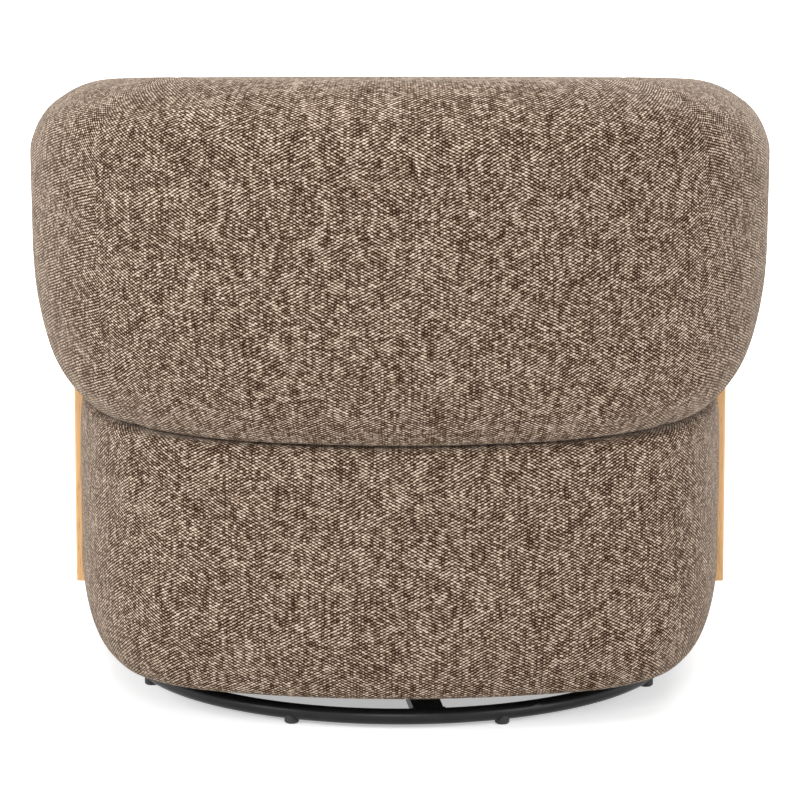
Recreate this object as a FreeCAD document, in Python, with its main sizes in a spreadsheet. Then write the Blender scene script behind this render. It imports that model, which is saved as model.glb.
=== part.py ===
import FreeCAD, Part

import math
import os
import re

import Sketcher
from FreeCAD import Rotation, Vector

# Swivel rocker: an upholstered barrel chair on a ring base. A ball-bearing plate lets it turn
# right round, and a sprung rocker on top of that plate lets it rock back and forth.
# Frame: +Z up, floor at z = 0, swivel axis on the Z axis, the chair faces -Y.

doc = FreeCAD.newDocument("SwivelRocker")
sheet = doc.addObject("Spreadsheet::Sheet", "Sizes")

SIZES = {
    # ring base
    "tube_radius": 8.5,
    "ring_gap": 11,
    "vent_radius": 1.5,
    "vent_turn": 120,
    "vent_tilt": 35,
    "foot_height": 4.3,
    "foot_radius": 7.8,
    "foot_ease": 1.6,
    "foot_turn": 21.8,
    "spoke_width": 32,
    "spoke_height": 12,
    "spoke_turn": 6,
    "hub_hole_radius": 17,
    "tool_length": 400,
    # swivel bearing
    "plate_radius": 80,
    "plate_wall": 3,
    "ball_radius": 4,
    "ball_circle": 55,
    "race_floor": 1,
    "race_width": 18,
    "race_gap": 4,
    "cage_wall": 1.2,
    "pin_radius": 8,
    "pin_head_radius": 13,
    "running_gap": 0.05,
    "bolt_radius": 4,
    "bolt_circle": 70.5,
    "bolt_head": 4,
    "bolt_end": 1,
    "hexagon_radius": 7,
    "rivet_head_radius": 6.4,
    "rivet_head": 2.5,
    "rivet_tail_radius": 6,
    "rivet_tail": 2,
    # rocker mechanism
    "web_wall": 4,
    "web_half_width": 100,
    "web_half_length": 108,
    "lip_height": 12,
    "pivot_height": 112,
    "axle_radius": 8,
    "axle_end": 5,
    "clip_wall": 2,
    "clip_rim": 5,
    "boss_radius": 20,
    "cheek_half_base": 30,
    "bush_wall": 3,
    "bush_flange": 2,
    "bracket_wall": 4.6,
    "bracket_half_base": 44,
    "bracket_half_top": 112,
    "rail_width": 38,
    "rail_bolt_side": 13,
    "rail_bolt_end": 17,
    "member_start": 24,
    "rock_angle": 5,
    "spring_side": 62,
    "spring_reach": 52,
    "coil_radius": 19,
    "coil_wire": 3,
    "coil_turns": 5,
    "cup_rim": 3,
    "cup_fit": 1,
    "stop_reach": 90,
    "stop_radius": 9,
    "stop_rubber": 16,
    "platform_height": 150,
    "platform_wall": 18,
    # drum and the frame inside it
    "side_overhang": 52,
    "drum_corner": 179,
    "drum_corner_swell": 34.5,
    "front_overhang": 34,
    "drum_front_corner": 90,
    "rim_height": 40,
    "rim_inset": 26,
    "rim_rise": 90,
    "rim_width": 11,
    "foam_wall": 16,
    "shell_wall": 8,
    "hoop_rise": 14,
    "hoop_wall": 15,
    "hoop_width": 12.5,
    "cambric": 1,
    "cambric_margin": 3,
    "cambric_gap": 20,
    "seat_ring_width": 58,
    "deck_gap": 6,
    "post_width": 35,
    "post_gap": 2,
    "post_drop": 122,
    "side_post_setback": 20,
    "front_post_setback": 10,
    "rail_end": 20,
    "webbing_width": 50,
    "webbing_wall": 1.4,
    "webbing_lap": 18,
    "webbing_spacing": 84,
    "webbing_taper": 24,
    "cross_spacing": 100,
    "cross_rear": 85,
    "clearance": 0.3,
    # wrap-around bolster
    "bolster_half": 400,
    "bolster_corner": 300,
    "bolster_corner_swell": 24,
    "bolster_front": 400,
    "bolster_wall": 145,
    "bolster_bottom": 297,
    "bolster_undercut": 112,
    "bolster_swell": 190,
    "bolster_heel": 100,
    "back_height": 695,
    "arm_fall": 0.149,
    "arm_nose": 46,
    "arm_turn": 80,
    "arm_taper": 0.24,
    "crown_reach": 110,
    "crown_drop": 70,
    "crown_edge": 56,
    "toe_radius": 18,
    # seat cushion and back pad
    "cushion_height": 143,
    "cushion_setback": 4,
    "cushion_corner": 48,
    "cushion_rear_corner": 30,
    "cushion_bow": 14,
    "cushion_hem": 14,
    "cushion_hem_inset": 22,
    "cushion_seam": 100,
    "cushion_waist": 5,
    "cushion_crown": 110,
    "pad_depth": 55,
    "pad_drop": 55,
    "pad_roll": 22,
    "pad_roll_inset": 12,
    "pad_cheek": 8,
    "pad_bow": 2,
    # side boards
    "board_wall": 11,
    "board_length": 270,
    "board_setback": 6,
    "board_bottom": 88,
    "board_gap": 1.5,
    "board_ease": 2.5,
    "screw_radius": 2.5,
    "screw_head": 3,
    "screw_skin": 4,
    "screw_end": 40,
    "screw_drop": 60,
}
for row, (name, value) in enumerate(SIZES.items(), start=1):
    sheet.set(f"A{row}", name)
    sheet.set(f"B{row}", str(value))
    sheet.setAlias(f"B{row}", name)
doc.recompute()

# Sizes that follow from others
FOLLOWS = {
    "drum_half": "bolster_half - side_overhang",
    "drum_front": "bolster_front - front_overhang",
    "drum_reach": "drum_half + drum_corner_swell",
    "bolster_reach": "bolster_half + bolster_corner_swell",
    "ring_radius": "drum_half - rim_inset - rim_width - ring_gap - tube_radius",
    "deck_height": "bolster_bottom - deck_gap",
    "seat_gap": "3 * clearance",
    "ring_z": "foot_height + tube_radius",
    "spoke_top": "foot_height + 2 * tube_radius",
    "ball_z": "spoke_top + plate_wall + ball_radius + race_floor",
    "upper_plate_z": "2 * ball_z - spoke_top - plate_wall",
    "web_z": "upper_plate_z + plate_wall",
    "web_top": "web_z + web_wall",
    "member_z": "platform_height - 2 * web_wall",
    "bracket_inner": "web_half_width + clearance + bush_flange",
    "bracket_outer": "bracket_inner + bracket_wall",
    "rail_bolt_x": "bracket_inner + rail_width - rail_bolt_side",
    "rail_bolt_y": "bracket_half_top - rail_bolt_end",
    "shell_inset": "foam_wall + clearance",
    "inner_inset": "foam_wall + clearance + shell_wall",
    "hoop_z": "rim_height + hoop_rise",
    "stop_top": "pivot_height + (member_z - pivot_height) * cos(rock_angle)"
                " - (stop_reach + stop_radius) * sin(rock_angle) - clearance",
    "board_top": "bolster_bottom + bolster_heel - board_gap"
                 " - sqrt(bolster_heel ^ 2 - (bolster_undercut - side_overhang) ^ 2)",
    "screw_tip": "drum_half + board_wall - screw_skin",
}


def bound(text):
    """An expression over the sheet's cells, from one written with the sizes' bare names."""
    def cell(word):
        name = word.group()
        if name in FOLLOWS:
            return f"({bound(FOLLOWS[name])})"
        return f"Sizes.{name}" if name in SIZES else name

    return re.sub(r"[a-z_]+", cell, text)


def size(text):
    """The value of an expression written with the sizes' names."""
    result = sheet.evalExpression(bound(text))
    return float(getattr(result, "Value", result))


subparts = []


def subpart(label, item):
    """Gives a finished piece the label that names its file."""
    item.Label = label
    subparts.append(item)
    return item


def primitive(kind, at=("0", "0", "0"), turn=None, **sizes):
    """A primitive solid whose sizes and place follow the sheet; turn is (axis, angle)."""
    item = doc.addObject(f"Part::{kind}", kind)
    if turn:
        item.Placement = FreeCAD.Placement(Vector(), Rotation(turn[0], 1))
        item.setExpression("Placement.Rotation.Angle", bound(turn[1]))
    for name, text in sizes.items():
        item.setExpression(name, bound(text))
    for letter, text in zip("xyz", at):
        item.setExpression(f"Placement.Base.{letter}", bound(text))
    return item


def cylinder(radius, height, at, turn=None):
    return primitive("Cylinder", at, turn, Radius=radius, Height=height)


def cut(base, *tools):
    for tool in tools:
        item = doc.addObject("Part::Cut", "Cut")
        item.Base, item.Tool = base, tool
        base = item
    return base


def joined(items):
    """Pieces welded or pressed into one solid."""
    item = doc.addObject("Part::MultiFuse", "Joined")
    item.Shapes = items
    return item


def group(items):
    """Like pieces that stay separate solids in one node."""
    item = doc.addObject("Part::Compound", "Group")
    item.Links = items
    return item


def formed(shape):
    """A piece whose form no primitive gives; its shape reads the sheet in this script."""
    item = doc.addObject("Part::Feature", "Formed")
    item.Shape = shape
    return item


def polar(radius, angle):
    """The x and y of a point on a circle about the swivel axis, as expressions."""
    return f"({radius}) * cos({angle})", f"({radius}) * sin({angle})"


def corners(across, along):
    """The four mirrored pairs of signed distances of a piece that repeats at four corners."""
    return [(f"{i} * ({across})", f"{j} * ({along})") for i in (-1, 1) for j in (-1, 1)]


def x_axis_cylinder(radius, start, length, height):
    """A round bar lying along X through the rocker's pivot height or another height."""
    return cylinder(radius, length, (start, "0", height), (Vector(0, 1, 0), "90"))


def origin_plane(body, role):
    return next(plane for plane in body.Origin.OriginFeatures if plane.Role == role)


def sketch(body, role, offset="0"):
    """A sketch on one of the body's own planes, moved along the plane's normal."""
    item = body.newObject("Sketcher::SketchObject", "Outline")
    item.AttachmentSupport = [(origin_plane(body, role), "")]
    item.MapMode = "FlatFace"
    item.setExpression("AttachmentOffset.Base.z", bound(offset))
    return item


def draw_rectangle(item, left, bottom, width, height):
    """A rectangle with its corner and both sides bound to the sheet."""
    a, b = Vector(size(left), size(bottom)), Vector(size(width), size(height))
    points = [a, a + Vector(b.x, 0), a + b, a + Vector(0, b.y)]
    first = item.GeometryCount
    for i in range(4):
        item.addGeometry(Part.LineSegment(points[i], points[(i + 1) % 4]))
    for i in range(4):
        item.addConstraint(
            Sketcher.Constraint("Coincident", first + i, 2, first + (i + 1) % 4, 1)
       )
    item.addConstraint(Sketcher.Constraint("Horizontal", first))
    item.addConstraint(Sketcher.Constraint("Vertical", first + 1))
    item.addConstraint(Sketcher.Constraint("Horizontal", first + 2))
    item.addConstraint(Sketcher.Constraint("Vertical", first + 3))
    for kind, text, one, two in (
        ("DistanceX", left, (-1, 1), (first, 1)),
        ("DistanceY", bottom, (-1, 1), (first, 1)),
        ("DistanceX", width, (first, 1), (first, 2)),
        ("DistanceY", height, (first + 1, 1), (first + 1, 2)),
   ):
        number = item.addConstraint(Sketcher.Constraint(kind, *one, *two, size(text)))
        item.setExpression(f"Constraints[{number}]", bound(text))


def draw_circle(item, x, y, radius):
    """A circle with its centre and radius bound to the sheet."""
    centre = Vector(size(x), size(y))
    number = item.addGeometry(Part.Circle(centre, Vector(0, 0, 1), size(radius)))
    for kind, text in (("DistanceX", x), ("DistanceY", y)):
        where = item.addConstraint(Sketcher.Constraint(kind, -1, 1, number, 3, size(text)))
        item.setExpression(f"Constraints[{where}]", bound(text))
    where = item.addConstraint(Sketcher.Constraint("Radius", number, size(radius)))
    item.setExpression(f"Constraints[{where}]", bound(radius))


def draw_loop(item, edges):
    """An outline of lines and arcs worked out from the sheet's values."""
    for edge in edges:
        item.addGeometry(edge)


def feature(body, kind, profile, **sizes):
    item = body.newObject(f"PartDesign::{kind}", kind)
    item.Profile = profile
    for name, text in sizes.items():
        item.setExpression(name, bound(text))
    profile.Visibility = False
    return item


def mirrored(body, original, role):
    item = body.newObject("PartDesign::Mirrored", "Mirrored")
    item.Originals = [original]
    item.MirrorPlane = (origin_plane(body, role), [""])
    body.Tip = item
    return item


def new_body():
    return doc.addObject("PartDesign::Body", "Body")


# Ring base: a bent tube hoop on eight studs, with a flat cross welded inside it
def make_ring():
    """The hoop, with the small hole that lets hot air out while it is welded shut."""
    hoop = primitive("Torus", ("0", "0", "ring_z"), Radius1="ring_radius", Radius2="tube_radius")
    x, y = polar("ring_radius", "vent_turn")
    vent = cylinder("vent_radius", "2 * tube_radius", (x, y, "ring_z"),
                    (Vector(-math.sin(math.radians(size("vent_turn"))),
                            math.cos(math.radians(size("vent_turn"))), 0), "vent_tilt"))
    subpart("base_ring", cut(hoop, vent))


def make_cross():
    """Two flat bars half-lapped and welded, coped to the hoop, with the hub hole through."""
    bars = []
    for angle in ("spoke_turn", "spoke_turn + 90"):
        bar = doc.addObject("Part::Box", "Bar")
        for name, text in (
            ("Length", "2 * ring_radius"),
            ("Width", "spoke_width"),
            ("Height", "spoke_height"),
            ("Placement.Rotation.Angle", angle),
            ("Placement.Base.x", f"spoke_width / 2 * sin({angle}) - ring_radius * cos({angle})"),
            ("Placement.Base.y", f"-1 * ring_radius * sin({angle}) - spoke_width / 2 * cos({angle})"),
            ("Placement.Base.z", "spoke_top - spoke_height"),
       ):
            bar.setExpression(name, bound(text))
        bars.append(bar)
    hoop = primitive("Torus", ("0", "0", "ring_z"), Radius1="ring_radius", Radius2="tube_radius")
    inside = doc.addObject("Part::Common", "Inside")
    inside.Base, inside.Tool = joined(bars), cylinder("ring_radius", "tool_length", ("0", "0", "0"))
    holes = [cylinder("hub_hole_radius", "tool_length", ("0", "0", "0"))]
    for quarter in range(4):
        x, y = polar("bolt_circle", f"spoke_turn + {90 * quarter}")
        holes.append(cylinder("bolt_radius", "tool_length", (x, y, "0")))
    subpart("base_cross", cut(inside, hoop, *holes))


def make_feet():
    """Eight moulded studs with an eased lower edge, each saddled to the underside of the hoop."""
    feet = []
    for eighth in range(8):
        x, y = polar("ring_radius", f"foot_turn + {45 * eighth}")
        toe = primitive("Cone", (x, y, "0"), Radius1="foot_radius - foot_ease",
                        Radius2="foot_radius", Height="foot_ease")
        stud = joined([toe, cylinder("foot_radius", "ring_z - foot_ease", (x, y, "foot_ease"))])
        hoop = primitive("Torus", ("0", "0", "ring_z"), Radius1="ring_radius", Radius2="tube_radius")
        feet.append(cut(stud, hoop))
    subpart("foot_studs", group(feet))


# Swivel bearing: two pressed plates with facing ball races, a ball cage and a riveted centre pin
def make_race_plate(label, plate_z, race_z, bore, bolt_turn):
    """A round plate with a raised race ring, a ball groove, a centre bore and four holes."""
    disc = cylinder("plate_radius", "plate_wall", ("0", "0", plate_z))
    rib = cylinder("ball_circle + race_width / 2",
                   "ball_z - race_gap / 2 - spoke_top - plate_wall", ("0", "0", race_z))
    core = cylinder("ball_circle - race_width / 2", "tool_length", ("0", "0", race_z))
    raised = joined([disc, cut(rib, core)])
    groove = primitive("Torus", ("0", "0", "ball_z"), Radius1="ball_circle",
                       Radius2="ball_radius + running_gap")
    holes = [cylinder(bore, "tool_length", ("0", "0", "0"))]
    for quarter in range(4):
        x, y = polar("bolt_circle", f"{bolt_turn} + {90 * quarter}")
        holes.append(cylinder("bolt_radius", "tool_length", (x, y, "0")))
    subpart(label, cut(raised, groove, *holes))


def make_bearing():
    make_race_plate("lower_swivel_plate", "spoke_top", "spoke_top + plate_wall",
                    "pin_radius + running_gap", "spoke_turn")
    make_race_plate("upper_swivel_plate", "upper_plate_z", "ball_z + race_gap / 2",
                    "pin_radius", "0")
    balls, pockets = [], []
    for twelfth in range(12):
        x, y = polar("ball_circle", f"{30 * twelfth}")
        balls.append(primitive("Sphere", (x, y, "ball_z"), Radius="ball_radius"))
        pockets.append(primitive("Sphere", (x, y, "ball_z"), Radius="ball_radius + clearance / 2"))
    subpart("bearing_balls", group(balls))
    flat_z = "ball_z - cage_wall / 2"
    ring = cylinder("ball_circle + race_width / 2", "cage_wall", ("0", "0", flat_z))
    core = cylinder("ball_circle - race_width / 2", "cage_wall", ("0", "0", flat_z))
    subpart("ball_cage", cut(ring, core, *pockets))


def make_centre_pin():
    """A stepped rivet: head under the lower plate, running shank, collar on the upper plate."""
    body = new_body()
    profile = sketch(body, "XZ_Plane")
    shank_top = size("web_z")
    head_top = size("spoke_top - clearance")
    head, shank, wall = size("pin_head_radius"), size("pin_radius"), size("plate_wall")
    points = [
        (0, head_top - wall), (head, head_top - wall), (head, head_top), (shank, head_top),
        (shank, shank_top), (head - 1, shank_top), (head - 1, shank_top + wall), (0, shank_top + wall),
    ]
    turns = [Vector(x, z) for x, z in points]
    draw_loop(profile, [Part.LineSegment(turns[i - 1], turns[i]) for i in range(len(turns))])
    revolved = feature(body, "Revolution", profile)
    revolved.ReferenceAxis = (profile, ["V_Axis"])
    revolved.Angle = 360
    subpart("centre_pin", body)


def hexagon(at):
    """A bolt head or a nut before its hole is cut."""
    return primitive("Prism", at, None, Circumradius="hexagon_radius", Height="bolt_head")


def bolts_and_nuts(places, head_z, nut_z):
    """Through bolts with their nuts: head_z is under the heads, nut_z under the nuts."""
    bolts, nuts = [], []
    for x, y in places:
        shank = cylinder("bolt_radius", f"{head_z} - ({nut_z}) + bolt_end", (x, y, f"{nut_z} - bolt_end"))
        bolts.append(joined([hexagon((x, y, head_z)), shank]))
        nuts.append(cut(hexagon((x, y, nut_z)), cylinder("bolt_radius", "bolt_head", (x, y, nut_z))))
    return group(bolts), group(nuts)


def make_base_fasteners():
    places = [polar("bolt_circle", f"spoke_turn + {90 * quarter}") for quarter in range(4)]
    bolts, nuts = bolts_and_nuts(places, "spoke_top + plate_wall", "spoke_top - spoke_height - bolt_head")
    subpart("base_bolts", bolts)
    subpart("base_nuts", nuts)


# Rocker carriage: a pressed channel riveted to the upper plate, with cheeks for the pivot axle
def cheek_outline(half_base, base_z, half_top, top_z):
    """A tapered upright in local (y, z) with a round boss about the pivot, as sketch edges."""
    pivot, boss = size("pivot_height"), size("boss_radius")
    foot = Vector(half_base, base_z)
    reach = Vector(foot.x, foot.y - pivot).Length
    lean = math.atan2(foot.y - pivot, foot.x) + math.acos(boss / reach) * (1 if base_z < pivot else -1)
    touch = Vector(boss * math.cos(lean), pivot + boss * math.sin(lean))
    end = Vector(0, pivot + boss if base_z < pivot else pivot - boss)
    left = Vector(-touch.x, touch.y)
    arc = Part.Arc(touch, end, left)
    top = [Vector(half_base, base_z), touch]
    edges = [Part.LineSegment(*top), arc, Part.LineSegment(left, Vector(-half_base, base_z))]
    if half_top > half_base:
        rim = [Vector(-half_base, base_z), Vector(-half_top, top_z - size("web_wall")),
               Vector(-half_top, top_z), Vector(half_top, top_z),
               Vector(half_top, top_z - size("web_wall")), Vector(half_base, base_z)]
        edges += [Part.LineSegment(rim[i], rim[i + 1]) for i in range(len(rim) - 1)]
    else:
        edges.append(Part.LineSegment(Vector(-half_base, base_z), Vector(half_base, base_z)))
    return edges


def make_carriage():
    body = new_body()
    web = sketch(body, "XY_Plane", "web_z")
    draw_rectangle(web, "-1 * web_half_width", "-1 * web_half_length",
                   "2 * web_half_width", "2 * web_half_length")
    draw_circle(web, "0", "0", "pin_head_radius")
    for quarter in range(4):
        draw_circle(web, *polar("bolt_circle", f"{90 * quarter}"), "bolt_radius")
    feature(body, "Pad", web, Length="web_wall")
    cheek = sketch(body, "YZ_Plane", "web_half_width - web_wall")
    draw_loop(cheek, cheek_outline(size("cheek_half_base"), size("web_z"), 0, 0))
    draw_circle(cheek, "0", "pivot_height", "axle_radius")
    mirrored(body, feature(body, "Pad", cheek, Length="web_wall"), "YZ_Plane")
    lip = sketch(body, "XY_Plane", "web_z")
    draw_rectangle(lip, "-1 * web_half_width", "web_half_length - web_wall",
                   "2 * web_half_width", "web_wall")
    mirrored(body, feature(body, "Pad", lip, Length="lip_height"), "XZ_Plane")
    subpart("rocker_carriage", body)


def make_carriage_fittings():
    rivets = []
    for quarter in range(4):
        x, y = polar("bolt_circle", f"{90 * quarter}")
        tail = cylinder("rivet_tail_radius", "rivet_tail", (x, y, "upper_plate_z - rivet_tail"))
        shank = cylinder("bolt_radius", "plate_wall + web_wall", (x, y, "upper_plate_z"))
        head = cylinder("rivet_head_radius", "rivet_head", (x, y, "web_top"))
        rivets.append(joined([tail, shank, head]))
    subpart("carriage_rivets", group(rivets))
    posts, rubbers = [], []
    for x, y in corners("spring_side", "stop_reach"):
        posts.append(cylinder("stop_radius", "stop_top - stop_rubber - web_top", (x, y, "web_top")))
        rubber = cylinder("stop_radius", "stop_rubber", (x, y, "stop_top - stop_rubber"))
        rubbers.append(rubber)
    subpart("stop_posts", group(posts))
    subpart("bump_stops", group(rubbers))
    subpart("lower_spring_cups", group([
        spring_cup(x, y, "web_top", 1) for x, y in corners("spring_side", "spring_reach")
    ]))


def spring_cup(x, y, level, side):
    """A turned cup: a flange behind the coil and a spigot inside it, side 1 up or -1 down."""
    flange_z = level if side > 0 else f"{level} - web_wall"
    spigot_z = f"{level} + web_wall" if side > 0 else f"{level} - 3 * web_wall"
    flange = cylinder("coil_radius + coil_wire + cup_rim", "web_wall", (x, y, flange_z))
    spigot = cylinder("coil_radius - coil_wire - cup_fit", "2 * web_wall", (x, y, spigot_z))
    return joined([flange, spigot])


def make_axle():
    subpart("pivot_axle", x_axis_cylinder(
        "axle_radius", "-1 * (bracket_outer + axle_end)", "2 * (bracket_outer + axle_end)",
        "pivot_height"))
    clips = []
    for start in ("bracket_outer + clearance", "-1 * (bracket_outer + clearance + clip_wall)"):
        ring = x_axis_cylinder("axle_radius + clip_rim", start, "clip_wall", "pivot_height")
        clips.append(cut(ring, x_axis_cylinder("axle_radius", start, "clip_wall", "pivot_height")))
    subpart("axle_clips", group(clips))


# Coil springs: round wire, the end turns closed flat on their cups
def coil(x, y, low, high):
    """One unbroken tube along quarter-turn arcs; the climb eases in and out at the ends."""
    radius, wire, turns = size("coil_radius"), size("coil_wire"), int(size("coil_turns"))
    closed = wire * 2 + size("clearance") * 2
    start, end = low + wire, high - wire
    quarters = 4 * turns
    step = math.pi / 2

    def point(quarter):
        first = min(quarter / 4, 1)
        last = max(quarter / 4 - turns + 1, 0)
        free = min(max(quarter / 4 - 1, 0), turns - 2)
        climb = (end - start - closed * 2) / (turns - 2)
        rise = start + closed * first ** 2 + climb * free + closed * (2 * last - last ** 2)
        angle = quarter * step
        return Vector(x + radius * math.cos(angle), y + radius * math.sin(angle), rise)

    arcs = [Part.Arc(point(q), point(q + 0.5), point(q + 1)).toShape() for q in range(quarters)]
    path = Part.Wire(arcs)
    first = path.OrderedEdges[0]
    circle = Part.makeCircle(wire, point(0), first.tangentAt(first.FirstParameter))
    pipe = Part.BRepOffsetAPI.MakePipeShell(path)
    pipe.add(Part.Wire(circle))
    pipe.build()
    pipe.makeSolid()
    samples = [point(q / 4) for q in range(4 * quarters + 1)]
    gap = min((samples[i + 16] - samples[i]).Length for i in range(len(samples) - 16)) - 2 * wire
    return pipe.shape(), gap


def make_springs():
    low, high = size("web_top + web_wall"), size("member_z - web_wall")
    for label, side in (("front_springs", -1), ("rear_springs", 1)):
        coils = [coil(i * size("spring_side"), side * size("spring_reach"), low, high) for i in (-1, 1)]
        print(label, "least gap between turns", round(min(gap for _, gap in coils), 2), "mm")
        subpart(label, formed(Part.makeCompound([shape for shape, _ in coils])))


# Rocker frame: side brackets swinging on the axle, joined by two cross members under the rails
def make_rocker_frame():
    body = new_body()
    bracket = sketch(body, "YZ_Plane", "bracket_inner")
    draw_loop(bracket, cheek_outline(size("bracket_half_base"), size("member_z"),
                                     size("bracket_half_top"), size("platform_height")))
    draw_circle(bracket, "0", "pivot_height", "axle_radius + bush_wall")
    mirrored(body, feature(body, "Pad", bracket, Length="bracket_wall"), "YZ_Plane")
    rail = sketch(body, "XY_Plane", "platform_height - web_wall")
    draw_rectangle(rail, "bracket_inner", "-1 * bracket_half_top", "rail_width", "2 * bracket_half_top")
    for sign in (-1, 1):
        draw_circle(rail, "rail_bolt_x", f"{sign} * rail_bolt_y", "bolt_radius")
    mirrored(body, feature(body, "Pad", rail, Length="web_wall"), "YZ_Plane")
    member = sketch(body, "XY_Plane", "member_z")
    draw_rectangle(member, "-1 * bracket_inner", "member_start",
                   "2 * bracket_inner", "bracket_half_top - member_start")
    mirrored(body, feature(body, "Pad", member, Length="2 * web_wall"), "XZ_Plane")
    subpart("rocker_frame", body)
    subpart("upper_spring_cups", group([
        spring_cup(x, y, "member_z", -1) for x, y in corners("spring_side", "spring_reach")
    ]))
    bushes = []
    for start, flange in (("bracket_inner", "bracket_inner - bush_flange"),
                          ("-1 * (bracket_inner + bracket_wall)", "-1 * bracket_inner")):
        sleeve = x_axis_cylinder("axle_radius + bush_wall", start, "bracket_wall", "pivot_height")
        collar = x_axis_cylinder("axle_radius + 2 * bush_wall", flange, "bush_flange", "pivot_height")
        bore = x_axis_cylinder("axle_radius + running_gap", "-1 * tool_length / 2", "tool_length",
                               "pivot_height")
        bushes.append(cut(joined([sleeve, collar]), bore))
    subpart("pivot_bushes", group(bushes))


def platform_bolt_places():
    return corners("rail_bolt_x", "rail_bolt_y")


def make_platform_fasteners():
    bolts, nuts = bolts_and_nuts(platform_bolt_places(), "platform_height + platform_wall",
                                 "platform_height - web_wall - bolt_head")
    subpart("platform_bolts", bolts)
    subpart("platform_nuts", nuts)


# Drum: everything below the bolster follows one U-shaped plan, rounded square behind and
# straight-sided in front
def rounded_square(half, corner, reach):
    """Tangent arcs of a rounded square: the corner arc's centre is (centre, centre), the side
    arc's is (-back, 0) with radius wide, and they meet at the angle lean."""
    centre = (reach - corner) / math.sqrt(2)
    span = half - corner
    back = (2 * centre ** 2 - span ** 2) / (2 * span - 2 * centre)
    return centre, back, half + back, math.atan2(centre, centre + back)


def drum_outline(inset, level):
    """The drum's plan drawn in by inset: tangent arcs behind, lines and corner arcs in front."""
    half, corner = size("drum_half"), size("drum_corner")
    front, front_corner = size("drum_front"), size("drum_front_corner")
    centre, back, wide, lean = rounded_square(half, corner, size("drum_reach"))
    wide -= inset
    corner, front_corner = corner - inset, front_corner - inset
    side, nose = half - inset, front - inset

    def at(x, y):
        return Vector(x, y, level)

    def on(cx, cy, radius, angle):
        return at(cx + radius * math.cos(angle), cy + radius * math.sin(angle))

    quarter = math.pi / 2
    points = []
    points.append(Part.Arc(at(side, 0), on(-back, 0, wide, lean / 2), on(-back, 0, wide, lean)))
    points.append(Part.Arc(on(-back, 0, wide, lean), on(centre, centre, corner, quarter / 2),
                           on(0, -back, wide, quarter - lean)))
    points.append(Part.Arc(on(0, -back, wide, quarter - lean), at(0, side),
                           on(0, -back, wide, quarter + lean)))
    points.append(Part.Arc(on(0, -back, wide, quarter + lean),
                           on(-centre, centre, corner, 1.5 * quarter), on(back, 0, wide, math.pi - lean)))
    points.append(Part.Arc(on(back, 0, wide, math.pi - lean), on(back, 0, wide, math.pi - lean / 2),
                           at(-side, 0)))
    bend = -nose + front_corner
    points.append(Part.LineSegment(at(-side, 0), at(-side, bend)))
    points.append(Part.Arc(at(-side, bend), on(-side + front_corner, bend, front_corner, 2.5 * quarter),
                           at(-side + front_corner, -nose)))
    points.append(Part.LineSegment(at(-side + front_corner, -nose), at(side - front_corner, -nose)))
    points.append(Part.Arc(at(side - front_corner, -nose),
                           on(side - front_corner, bend, front_corner, 3.5 * quarter), at(side, bend)))
    points.append(Part.LineSegment(at(side, bend), at(side, 0)))
    return Part.Wire([edge.toShape() for edge in points])


def rounded(outline, level, inset, rise, last=90):
    """A solid that closes over an outline in a quarter ellipse, up for a rise above nothing."""
    angles = [math.radians(last * step / 5) for step in range(6)]
    wires = [outline(inset * (1 - math.cos(a)), level + rise * math.sin(a)) for a in angles]
    return Part.makeLoft(wires, True, False)


def drum_slab(inset, low, high, inner=None):
    """A board that follows the drum's plan, solid or as a hoop down to the inner inset."""
    outer = drum_outline(inset, low)
    face = Part.Face([outer, drum_outline(inner, low)]) if inner else Part.Face(outer)
    face.validate()
    return face.extrude(Vector(0, 0, high - low))


def arm_top(y):
    """The bolster's height at a distance back from the swivel axis."""
    return size("back_height") - size("arm_fall") * (size("bolster_half - crown_reach") - y)


def post_places():
    """Where the frame posts stand: (x, y, turn, top)."""
    inset = size("inner_inset + post_width / 2 + post_gap")
    side = size("drum_half") - inset
    diagonal = (size("drum_reach") - inset) / math.sqrt(2)
    middle, front = -size("side_post_setback"), size("drum_front_corner - drum_front + front_post_setback")
    tall, low = size("back_height - post_drop"), arm_top(front) - size("post_drop")
    return [
        (0, side, 0, tall), (diagonal, diagonal, 45, tall), (-diagonal, diagonal, 45, tall),
        (side, middle, 0, tall), (-side, middle, 0, tall), (side, front, 0, low), (-side, front, 0, low),
    ]


def post(place, gap):
    """One upright, or the slot for it when gap is more than nothing."""
    x, y, turn, top = place
    width = size("post_width") + 2 * gap
    bottom = size("platform_height + platform_wall")
    shape = Part.makeBox(width, width, top - bottom + gap, Vector(-width / 2, -width / 2, bottom))
    shape.Placement = FreeCAD.Placement(Vector(x, y, 0), Rotation(Vector(0, 0, 1), turn))
    return shape


def rails(gap):
    """The bent back rail on the tall posts and the two arm rails, or the slots for them."""
    thick, wide = size("platform_wall"), size("post_width")
    places = post_places()
    side, middle, tall = places[3][0], places[3][1], places[3][3]
    front, low = places[5][1], places[5][3]
    inner, outer = side - wide / 2 - gap, side + wide + size("post_gap") + gap
    start = middle - size("rail_end") - gap
    band = Part.makeCylinder(outer, thick + 2 * gap, Vector(0, 0, tall - gap))
    band = band.cut(Part.makeCylinder(inner, thick + 2 * gap, Vector(0, 0, tall - gap)))
    behind = Part.makeBox(2 * outer, outer - start, thick + 2 * gap, Vector(-outer, start, tall - gap))
    arms = [
        Part.makeBox(wide + 2 * gap, middle - front + 2 * gap, thick + 2 * gap,
                     Vector(i * side - wide / 2 - gap, front - wide / 2 - gap, low - gap))
        for i in (-1, 1)
    ]
    return band.common(behind), arms


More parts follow.
